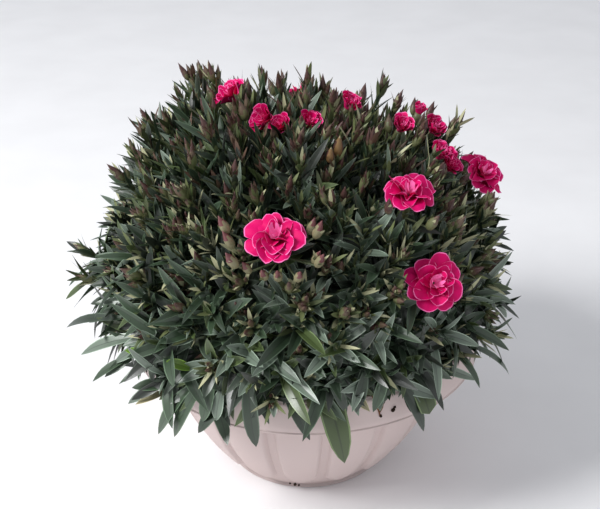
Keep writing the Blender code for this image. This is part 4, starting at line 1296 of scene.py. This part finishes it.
def petal_points(centre, face, diameter, closed, rng):
    """Petals of one bloom, whorl by whorl, on a grid from the claw to the edge.

    The midline climbs from the steep claw and levels out: its tilt is end + (start - end)
    (1 - u)^1.6, less a turn back of 20 u^4 degrees, and its running sum gives the distance out
    and the height. The half width grows from 0.14 to 1 as sin(pi/2 min(1, u/0.70))^1.2. The end
    is an arc: each column is drawn back by 1 - sqrt(1 - v^2). Sine waves ruffle the blade, and
    every petal rolls and leans by a draw of its own.
    """
    fine = np.linspace(0.0, 1.0, MIDLINE_POINTS)
    first_side = upright(face[None])[0]
    u, v = np.meshgrid(PETAL_ROWS, PETAL_COLUMNS, indexing="ij")
    grow = np.sin(0.5 * math.pi * np.minimum(1.0, u / FULL_WIDTH_AT)) ** WIDENING
    claw_to_blade = CLAW_WIDTH + (1.0 - CLAW_WIDTH) * grow
    rounded = 1.0 - PETAL_ROUNDING * (1.0 - np.sqrt(1.0 - v * v)) * u
    petals = []
    for whorl, (count, length, half, start, end, lift) in enumerate(WHORLS):
        turn = math.tau * np.arange(count) / count + whorl * WHORL_TURN
        turn = turn + rng.normal(0.0, PETAL_STRAY, count)
        radial = turned(first_side[None], face[None], turn[:, None])
        across = np.cross(np.broadcast_to(face, radial.shape), radial)
        for index in range(count):
            stop = end + (CLOSED_TILT - 0.5 * end) * closed + rng.normal(0.0, TILT_STRAY)
            tilt = (stop + (start - stop) * (1.0 - fine) ** TILT_FALL
                    - TURN_BACK * (1.0 - closed) * fine ** 4)
            angle = np.radians(tilt)
            size = diameter * length * rng.uniform(*PETAL_LENGTHS) * (1.0 + CLOSED_LONGER * closed)
            out, high = (np.concatenate([[0.0], np.cumsum(step)[:-1]]) * size / len(fine)
                         for step in (np.cos(angle), np.sin(angle)))
            phase = rng.uniform(0.0, math.tau, 3)
            teeth = TEETH_DEPTH * np.sin(TEETH_WAVES * v + phase[2]) * (u > TEETH_FROM)
            along = u * rounded + teeth
            wide = diameter * half * claw_to_blade * v * rng.uniform(*PETAL_WIDTHS)
            wave = sum(height * np.sin(waves * v + shift)
                       for (height, waves), shift in zip(RUFFLES, phase))
            wave *= 1.0 - CLOSED_CALM * closed
            climb = np.interp(along, fine, high) + diameter * wave * u ** 2
            cup = (CUP_FLAT + CUP_STEEP * math.sin(math.radians(stop))) * diameter
            climb += cup * (wide / (diameter * half)) ** 2 + wide * rng.normal(0.0, PETAL_ROLL)
            points = (centre + face * lift + radial[index] * np.interp(along, fine, out)[..., None]
                      + across[index] * wide[..., None] + face * climb[..., None])
            petals.append(points.reshape(-1, 3))
    return np.array(petals)


# ---------------------------------------------------------------- operators

class DIANTHUS_OT_bowl(bpy.types.Operator):
    """Make the moulded bowl with its raised panels and smooth rim band"""

    bl_idname = "dianthus.bowl"
    bl_label = "Bowl"

    def execute(self, context):
        """Turn the profile, and set the channels back by a smooth step of a rounded outline.

        A panel's outline is a rounded rectangle in (arc length, height), open at the band. Its
        signed distance d gives the setback, depth * smoothstep of d over the channel's edge.
        """
        bowl = context.scene.dianthus_bowl
        rim, inner = bowl.rim_radius, bowl.rim_radius - RIM_LIP
        band_foot = bowl.height - bowl.rim_band
        corner = np.array([rim, band_foot])
        underside = np.concatenate([UNDERSIDE, FOOT_RING + np.array([bowl.foot_radius, 0.0])])
        wall = np.concatenate([
            np.linspace(*CLOSE_ROWS), np.linspace(WIDE_FROM, band_foot, WIDE_ROWS)])
        down = np.linspace(band_foot, FLOOR_TOP[1], INSIDE_ROWS)
        profile = np.concatenate([
            underside,
            np.stack([wall_radius(bowl, wall), wall], axis=1),
            np.linspace((bowl.wall_top + LEDGE_STARTS, band_foot), corner - (LEDGE_ENDS, 0.0), 6),
            arc(corner + (-ROLL_IN, ROLL), ROLL, -90.0, 70.0, 8),
            corner + GROOVE,
            np.linspace(corner + (-BAND_LEAN, BAND_STARTS), (rim, bowl.height - LIP_ROUND), 8),
            arc((rim - LIP_ROUND, bowl.height - LIP_ROUND), LIP_ROUND, 0.0, 90.0, 7),
            arc((inner + INNER_ROUND, bowl.height - INNER_ROUND), INNER_ROUND, 90.0, 180.0, 5),
            [[inner, band_foot + 3 * POT_WALL]],
            np.stack([wall_radius(bowl, down) - POT_WALL, down], axis=1),
            [FLOOR_TOP],
        ])
        columns = bowl.panels * PANEL_COLUMNS
        even = np.arange(columns) / columns * bowl.panels
        bent = even - BUNCHING * np.sin(math.tau * even) / math.tau
        turn = math.tau * bent / bowl.panels + FIRST_CHANNEL - math.pi / 2
        ring = np.repeat(profile[:, :1], columns, axis=1)
        height = np.repeat(profile[:, 1:], columns, axis=1)
        part = slice(len(underside), len(underside) + len(wall))
        pitch = math.tau * ring[part] / bowl.panels
        from_middle = np.abs(bent % 1.0 - 0.5) * pitch
        over = from_middle - (pitch / 2 - bowl.channel_width / 2 - PANEL_CORNER)
        under = CHANNEL_FOOT + PANEL_CORNER - height[part]
        away = np.hypot(np.maximum(over, 0.0), np.maximum(under, 0.0)) + np.minimum(
            np.maximum(over, under), 0.0) - PANEL_CORNER
        soft = np.clip((away + EDGE_STARTS) / EDGE_WIDTH, 0.0, 1.0)
        soft = soft * soft * (3.0 - 2.0 * soft)
        fade = np.clip((band_foot - height[part]) / CHANNEL_FADE, 0, 1)
        ring[part] -= bowl.channel_depth * soft * fade
        plastic = finish("bowl_plastic", bowl.colour, PLASTIC)
        revolved("bowl", ring, height, turn, plastic, ("pot",))
        return {"FINISHED"}


class DIANTHUS_OT_compost(bpy.types.Operator):
    """Make the compost in the bowl"""

    bl_idname = "dianthus.compost"
    bl_label = "Compost"

    def execute(self, context):
        """Turn a low mound and add ripples of two sizes to the height of its top."""
        bowl = context.scene.dianthus_bowl
        edge = bowl.rim_radius - RIM_LIP - GAP
        low = bowl.height - bowl.rim_band + SOIL_LIFT
        under = [[SOIL_UNDER, low], [bowl.wall_top - SOIL_OFF_WALL, low], [edge, low + SOIL_SIDE]]
        top = np.linspace((edge, SOIL_TOP), (SOIL_MIDDLE, SOIL_TOP), SOIL_RINGS)
        profile = np.concatenate([under, top])
        turn = math.tau * np.arange(SOIL_COLUMNS) / SOIL_COLUMNS
        ring = np.repeat(profile[:, :1], len(turn), axis=1)
        height = np.repeat(profile[:, 1:], len(turn), axis=1)
        flat = np.stack([ring * np.cos(turn), ring * np.sin(turn), np.zeros_like(ring)], axis=-1)
        rise = SOIL_RISE * (1.0 - (ring / edge) ** 2) - SOIL_SINK
        rise += sum(CLOD_RELIEF * ripples(flat, size, seed) for size, seed in CLODS)
        height[len(under):] += rise[len(under):]
        soil = finish("compost", bowl.compost, COMPOST)
        revolved("compost", ring, height, turn, soil, ("soil",))
        return {"FINISHED"}


class DIANTHUS_OT_marks(bpy.types.Operator):
    """Make the crumbs of compost and the dry roots that stick to the bowl"""

    bl_idname = "dianthus.marks"
    bl_label = "Crumbs and roots"

    def execute(self, context):
        """Set short uneven rods on the bowl's outside, and carry thin tubes down its band."""
        bowl = context.scene.dianthus_bowl

        def on_bowl(azimuth, height):
            """Points on the outside of the bowl: the band, or the wall's line below it."""
            foot = bowl.height - bowl.rim_band
            wall = wall_radius(bowl, np.clip(height, 0.0, foot))
            radius = np.where(height > foot, bowl.rim_radius, wall)
            level = bearing(np.radians(azimuth), np.zeros_like(height))
            return level * radius[..., None] + height[..., None] * UP

        crumbs = np.array(CRUMBS)
        middle = on_bowl(crumbs[:, 0], crumbs[:, 1])
        along = unit(np.random.default_rng(CRUMB_SEED).normal(size=middle.shape))
        stations = np.linspace(-1.0, 1.0, len(CRUMB_RADII))
        path = middle[:, None] + along[:, None] * (crumbs[:, 2:] * stations)[..., None]
        soil = finish("crumbs", bowl.compost, CRUMB)
        tubes("crumbs", path, crumbs[:, 2:] * CRUMB_RADII, CRUMB_SIDES, soil)
        roots = np.array(ROOTS)
        path = on_bowl(roots[..., 0], roots[..., 1])
        root = finish("dry_root", bowl.root, DRY_ROOT)
        radius = np.broadcast_to(ROOT_RADII, path.shape[:2])
        tubes("dry_roots", path, radius, ROOT_SIDES, root)
        return {"FINISHED"}


class DIANTHUS_OT_limbs(bpy.types.Operator):
    """Make the woody crown, the boughs and the stems of the masses, with the bark's relief"""

    bl_idname = "dianthus.limbs"
    bl_label = "Crown and boughs"

    def execute(self, context):
        """Carry tapering rings along each bough, with ridges and rings at its joints."""
        scene = context.scene
        wood = finish("old_wood", scene.dianthus_colours.wood, WOOD)
        axes = mass_axes()
        stations = np.linspace(0.0, 1.0, BOUGH_STATIONS)
        start = CROWN_RADIUS * BOUGH_STARTS
        ends = reach(axes, scene.dianthus_mound) * STEM_END_SHARE
        far = start + (ends[:, None] - start) * stations
        path = CROWN + axes[:, None] * far[..., None]
        radius = BOUGH_RADIUS - BOUGH_THINNING * (far - start) / (ends[:, None] - start)
        angle = math.tau * np.arange(BOUGH_SIDES) / BOUGH_SIDES
        joints = np.exp(-((far % JOINT_PITCH - JOINT_PITCH / 2) / JOINT_LENGTH) ** 2)
        ridges = RIDGE_RELIEF * np.sin(RIDGES * angle + far[..., None] * RIDGE_TWIST)
        relief = radius[..., None] * (ridges + JOINT_RELIEF * joints[..., None])
        tubes("boughs", path, radius, BOUGH_SIDES, wood, BOUGH_NODES, relief)
        turn = math.tau * np.arange(CROWN_COLUMNS) / CROWN_COLUMNS
        rise = np.linspace(*CROWN_RISE)
        ring = np.repeat((CROWN_RADIUS * np.cos(rise))[:, None], len(turn), axis=1)
        height = np.repeat((CROWN_RADIUS * np.sin(rise))[:, None], len(turn), axis=1)
        skin = np.broadcast_arrays(np.cos(turn), np.sin(turn), height * SKIN_STRETCH)
        skin = np.stack(skin, axis=-1)
        ring = ring * (1.0 + RIDGE_RELIEF * ripples(skin, SKIN_RIPPLES, SKIN_SEED))
        revolved("crown", ring, height, turn, wood, ("crown_stem",), CROWN)
        return {"FINISHED"}


class DIANTHUS_OT_twigs(bpy.types.Operator):
    """Make the thin stem of every shoot and the stalks of its buds"""

    bl_idname = "dianthus.twigs"
    bl_label = "Twigs and stalks"

    def execute(self, context):
        """Carry thin rings along each shoot's curve, swollen at every other station."""
        scene = context.scene
        mound = scene.dianthus_mound
        green = finish("young_stem", scene.dianthus_colours.stem, STEM)
        shoots = grow_shoots(mound)
        stations = np.linspace(0.0, 1.0, TWIG_STATIONS)
        share = np.broadcast_to(stations, (len(shoots.tip), TWIG_STATIONS))
        swell = 1.0 + TWIG_SWELL * (np.arange(TWIG_STATIONS) % 2)
        radius = (TWIG_RADIUS - TWIG_THINNING * share) * swell
        tubes("twigs", shoots.at(share), radius, TWIG_SIDES, green, FOLIAGE_NODES)
        buds = grow_buds(shoots, mound, np.random.default_rng(mound.seed + 2))
        into = buds.base + buds.along * (STALK_INTO_BUD * buds.length)[:, None]
        path = buds.start[:, None] + (into - buds.start)[:, None] * np.linspace(0, 1, 4)[:, None]
        tubes("bud_stalks", path, np.full(path.shape[:2], STALK_RADIUS), TWIG_SIDES, green)
        return {"FINISHED"}


class DIANTHUS_OT_leaves(bpy.types.Operator):
    """Make the leaves of every shoot, dealt out in tints, and the plain leaves deep inside"""

    bl_idname = "dianthus.leaves"
    bl_label = "Leaves"

    def execute(self, context):
        """Grow the leaf pairs by their table and split them by the tint of their spray."""
        scene = context.scene
        mound, colours = scene.dianthus_mound, scene.dianthus_colours
        rng = np.random.default_rng(mound.seed + 1)
        shoots = grow_shoots(mound)
        leaf = shoot_leaves(shoots, rng)
        points, fits = fitted_blades(leaf, mound, LEAF_ROWS, LEAF_COLUMNS)
        spray = rng.choice(len(TINTS), len(shoots.tip), p=TINT_ODDS)
        own = rng.choice(len(TINTS), len(leaf["shoot"]), p=TINT_ODDS)
        keep = rng.random(len(own)) < SPRAY_TINTED
        tint = np.where(keep, spray[leaf["shoot"]], own)[fits]
        single = blade_points(single_leaves(), LEAF_ROWS, LEAF_COLUMNS)
        points = np.concatenate([points, single])
        tint = np.concatenate([tint, [TINTS.index(row[-1]) for row in SINGLE_LEAVES]])
        faces = grid_faces(LEAF_ROWS, len(LEAF_COLUMNS), tip=True)

        def part_of_blade(row, column):
            """Margin along both sides with a painted highlight, midrib in the middle with painted
            shade, blade between.
            """
            rib = np.where(column == 2, MIDRIB_SHADE, BLADE)
            return np.where((column == 0) | (column == 4), MARGIN_HIGHLIGHT, rib)

        for number, name in enumerate(TINTS):
            colour = np.array(getattr(colours, "leaf_" + name))
            # The margin's lighter colour is a painted highlight, and the midrib's darker colour is
            # painted shade
            looks = [finish("leaf_" + name, colour, WAXY),
                     finish("leaf_margin_" + name, colour * MARGIN_HIGHLIGHT_GAIN + MARGIN_HIGHLIGHT_LIFT, WAXY),
                     finish("leaf_midrib_" + name, colour * MIDRIB_SHADE_GAIN, WAXY)]
            mesh = make_mesh("leaves_" + name, points[tint == number], looks, faces, part_of_blade)
            dress("leaves_" + name, mesh, FOLIAGE_NODES)
        leaf = shade_leaves(shoots, mound.shade_leaves, rng)
        points, _ = fitted_blades(leaf, mound, SHADE_ROWS, SHADE_COLUMNS)
        # The inner leaves' near-black colour is painted shade
        shade = finish("leaf_shade", colours.leaf_shade, WAXY)
        faces = grid_faces(SHADE_ROWS, len(SHADE_COLUMNS), tip=True)
        dress("leaves_shade", make_mesh("leaves_shade", points, [shade], faces))
        return {"FINISHED"}


class DIANTHUS_OT_buds(bpy.types.Operator):
    """Make the pointed buds in their clusters and the narrow bracts round them"""

    bl_idname = "dianthus.buds"
    bl_label = "Buds and bracts"

    def execute(self, context):
        """Stack the rings of each bud, and colour them from base to tip by how far they flush."""
        scene = context.scene
        mound, colours = scene.dianthus_mound, scene.dianthus_colours
        shoots = grow_shoots(mound)
        buds = grow_buds(shoots, mound, np.random.default_rng(mound.seed + 2))
        rng = np.random.default_rng(mound.seed + 3)
        steep = ramp(shoots.elevation[buds.shoot], *FLUSHED_ELEVATIONS)
        flush = np.digitize(rng.random(len(steep)) + FLUSHED_TOP * steep, FLUSH_STEPS)
        flush[shoots.head[buds.shoot] == 0] = list(BUD_LOOKS).index("plump")
        skins = {name: bud_finish("bud_" + name, getattr(colours, "bud_" + name), roughness)
                 for name, roughness in BUD_ROUGHNESS.items()}
        faces = grid_faces(len(BUD_HEIGHTS), BUD_SIDES, wrap=True, foot=True, tip=True)
        for number, (name, rows) in enumerate(BUD_LOOKS.items()):
            kinds = list(dict.fromkeys(rows))
            order = np.array([kinds.index(look) for look in rows])

            def part_of_bud(row, column):
                """The look of each row; the streaks of every third side reach one row further."""
                up = np.clip(row + 1 - (column % 3 == 0), 0, len(order) - 1)
                return order[up]

            mesh = make_mesh("buds_" + name, buds.pick(flush == number).points(),
                             [skins[kind] for kind in kinds], faces, part_of_bud)
            dress("buds_" + name, mesh)
        out = toward(WITHERED_BUDS)
        base = CROWN + out * (reach(out, mound) * WITHERED_BUDS[:, 2])[:, None]
        dry = Buds(base, unit(out + UP * WITHERED_RISE), *WITHERED_BUDS[:, 3:].T)

        def part_of_husk(row, column):
            """Dark streaks run up from the foot on every third side, and the tip is pale."""
            return np.where(column % 3 == 0, 2 * (row < 4), row > 4)

        husk = [skins[kind] for kind in ("gold", "pale", "maroon")]
        mesh = make_mesh("buds_withered", dry.points(), husk, faces, part_of_husk)
        dress("buds_withered", mesh)
        leaf = grow_bracts(shoots, buds, rng)
        points, fits = fitted_blades(leaf, mound, SHADE_ROWS, SHADE_COLUMNS)
        high = ramp(shoots.elevation[leaf["shoot"]], *DIM_ELEVATIONS)
        kind = np.digitize(rng.random(len(high)) + DIM_TOP * high, TONE_STEPS)
        faces = grid_faces(SHADE_ROWS, len(SHADE_COLUMNS), tip=True)
        for number, (name, tone) in enumerate(BRACT_TONES.items()):
            look = bud_finish("bract_" + name, np.array(colours.bract) * tone, BRACT_ROUGHNESS)
            mesh = make_mesh("bracts_" + name, points[(kind == number)[fits]], [look], faces)
            dress("bracts_" + name, mesh)
        return {"FINISHED"}


class DIANTHUS_OT_blooms(bpy.types.Operator):
    """Make the double blooms and the green tubes that they stand in"""

    bl_idname = "dianthus.blooms"
    bl_label = "Blooms"

    def execute(self, context):
        """Lay out each bloom's whorls of petals, with thin pale edges and a painted highlight of
        pale pink at the heart.
        """
        scene = context.scene
        colours = scene.dianthus_colours
        rng = np.random.default_rng(scene.dianthus_mound.seed + 4)
        centre, face = bloom_places(scene.dianthus_mound)
        # The heart's pale colour is a painted highlight
        looks = [finish("petal", colours.petal, VELVET),
                 finish("petal_edge", colours.petal_edge, VELVET),
                 finish("petal_throat", colours.throat, VELVET)]
        petals = [petal_points(c - f * CLAW_DEPTH * d, f, d, closed, rng)
                  for c, f, d, closed in zip(centre, face, BLOOM_WIDTHS, BLOOM_CLOSED)]
        faces = grid_faces(len(PETAL_ROWS), len(PETAL_COLUMNS))
        last_row, last_column = len(PETAL_ROWS) - 2, len(PETAL_COLUMNS) - 2

        def part_of_petal(row, column):
            """The pale edge runs round the end and up both sides of the blade."""
            sides = ((column == 0) | (column == last_column)) & (row >= 3)
            return np.where((row >= last_row) | sides, PETAL_EDGE, PETAL)

        def part_of_heart(row, column):
            """The heart's petals carry a painted highlight of pale pink in the lower half as well.
            """
            return np.where(row < 6, PETAL_HEART_HIGHLIGHT, part_of_petal(row, column))

        hearts = WHORLS[-1][0]
        for name, part, rule in (("petals", slice(None, -hearts), part_of_petal),
                                 ("petal_hearts", slice(-hearts, None), part_of_heart)):
            points = np.concatenate([bloom[part] for bloom in petals])
            dress(name, make_mesh(name, points, looks, faces, rule))
        stations = np.linspace(0.0, 1.0, CALYX_STATIONS)
        foot = centre - face * (CLAW_DEPTH * BLOOM_WIDTHS + CALYX_UNDER)[:, None]
        path = foot[:, None] + face[:, None] * (CALYX_LENGTH * stations)[:, None]
        radius = np.broadcast_to(np.interp(stations, *CALYX_OUTLINE), path.shape[:2])
        radius = radius * np.interp(BLOOM_WIDTHS, *CALYX_SIZES)[:, None]
        tone = np.array(colours.bud_green) * CALYX_TONE
        green = bud_finish("calyx", tone, BUD_ROUGHNESS["green"])
        tubes("calyces", path, radius, CALYX_SIDES, green)
        return {"FINISHED"}


class DIANTHUS_OT_stage(bpy.types.Operator):
    """Make the pale floor, the soft studio light and the camera"""

    bl_idname = "dianthus.stage"
    bl_label = "Stage"

    def execute(self, context):
        """Lay the floor, hang three soft lights and set the camera at its tilt and distance."""
        scene = context.scene
        stage = scene.dianthus_stage
        floor = bpy.data.meshes.new("floor")
        corners = ((-1, -1), (1, -1), (1, 1), (-1, 1))
        floor.from_pydata([(x * FLOOR_REACH, y * FLOOR_REACH, -FLOOR_UNDER) for x, y in corners],
                          [], [(0, 1, 2, 3)])
        floor.materials.append(finish("floor", stage.floor, FLOOR))
        ground = bpy.data.objects.new("floor", floor)
        scene.collection.objects.link(ground)
        world = bpy.data.worlds.new("studio")
        world.use_nodes = True
        shade = world.node_tree.nodes["Background"]
        shade.inputs["Color"].default_value = SKY_COLOUR
        shade.inputs["Strength"].default_value = stage.sky
        scene.world = world
        scene.view_settings.view_transform = "Standard"
        for name, place, size, power in LIGHTS:
            lamp = bpy.data.lights.new(name, "AREA")
            lamp.energy, lamp.size = getattr(stage, power), size
            holder = bpy.data.objects.new(name, lamp)
            holder.location = place
            away = TARGET - np.array(place)
            flat = math.hypot(away[0], away[1])
            holder.rotation_euler = (math.atan2(flat, -away[2]), 0.0, math.atan2(-away[0], away[1]))
            scene.collection.objects.link(holder)
        camera = bpy.data.cameras.new("camera")
        camera.lens = stage.lens
        camera.sensor_width = 36.0
        holder = bpy.data.objects.new("camera", camera)
        back = np.array([0.0, -math.cos(stage.tilt), math.sin(stage.tilt)]) * stage.distance
        holder.location = TARGET + back
        holder.rotation_euler = (math.pi / 2 - stage.tilt, 0.0, 0.0)
        scene.collection.objects.link(holder)
        scene.camera = holder
        return {"FINISHED"}


class DIANTHUS_PT_panel(bpy.types.Panel):
    """The sidebar's list of settings and operators"""

    bl_idname = "DIANTHUS_PT_panel"
    bl_label = "Potted Dianthus"
    bl_space_type = "VIEW_3D"
    bl_region_type = "UI"
    bl_category = "Dianthus"

    def draw(self, context):
        """Show every setting, and a button for each operator in the order of making."""
        for group in SETTINGS:
            box = self.layout.box()
            owner = getattr(context.scene, group)
            for name in owner.bl_rna.properties.keys():
                if name not in ("rna_type", "name"):
                    box.prop(owner, name)
        for operator in OPERATORS:
            self.layout.operator(operator.bl_idname)


SETTINGS = {
    "dianthus_bowl": BowlSettings,
    "dianthus_mound": MoundSettings,
    "dianthus_colours": PlantColours,
    "dianthus_stage": StageSettings,
}
OPERATORS = (
    DIANTHUS_OT_bowl,
    DIANTHUS_OT_compost,
    DIANTHUS_OT_marks,
    DIANTHUS_OT_limbs,
    DIANTHUS_OT_twigs,
    DIANTHUS_OT_leaves,
    DIANTHUS_OT_buds,
    DIANTHUS_OT_blooms,
    DIANTHUS_OT_stage,
)


def register():
    """Register the settings, the operators and the panel."""
    for group in SETTINGS.values():
        bpy.utils.register_class(group)
    for name, group in SETTINGS.items():
        setattr(bpy.types.Scene, name, bpy.props.PointerProperty(type=group))
    for operator in OPERATORS:
        bpy.utils.register_class(operator)
    bpy.utils.register_class(DIANTHUS_PT_panel)


def unregister():
    """Take back everything that register added."""
    bpy.utils.unregister_class(DIANTHUS_PT_panel)
    for operator in reversed(OPERATORS):
        bpy.utils.unregister_class(operator)
    for name in SETTINGS:
        delattr(bpy.types.Scene, name)
    for group in SETTINGS.values():
        bpy.utils.unregister_class(group)


def main():
    """Make every piece in order."""
    register()
    bpy.ops.dianthus.bowl()
    bpy.ops.dianthus.compost()
    bpy.ops.dianthus.marks()
    bpy.ops.dianthus.limbs()
    bpy.ops.dianthus.twigs()
    bpy.ops.dianthus.leaves()
    bpy.ops.dianthus.buds()
    bpy.ops.dianthus.blooms()
    bpy.ops.dianthus.stage()
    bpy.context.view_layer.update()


if __name__ == "__main__":
    main()
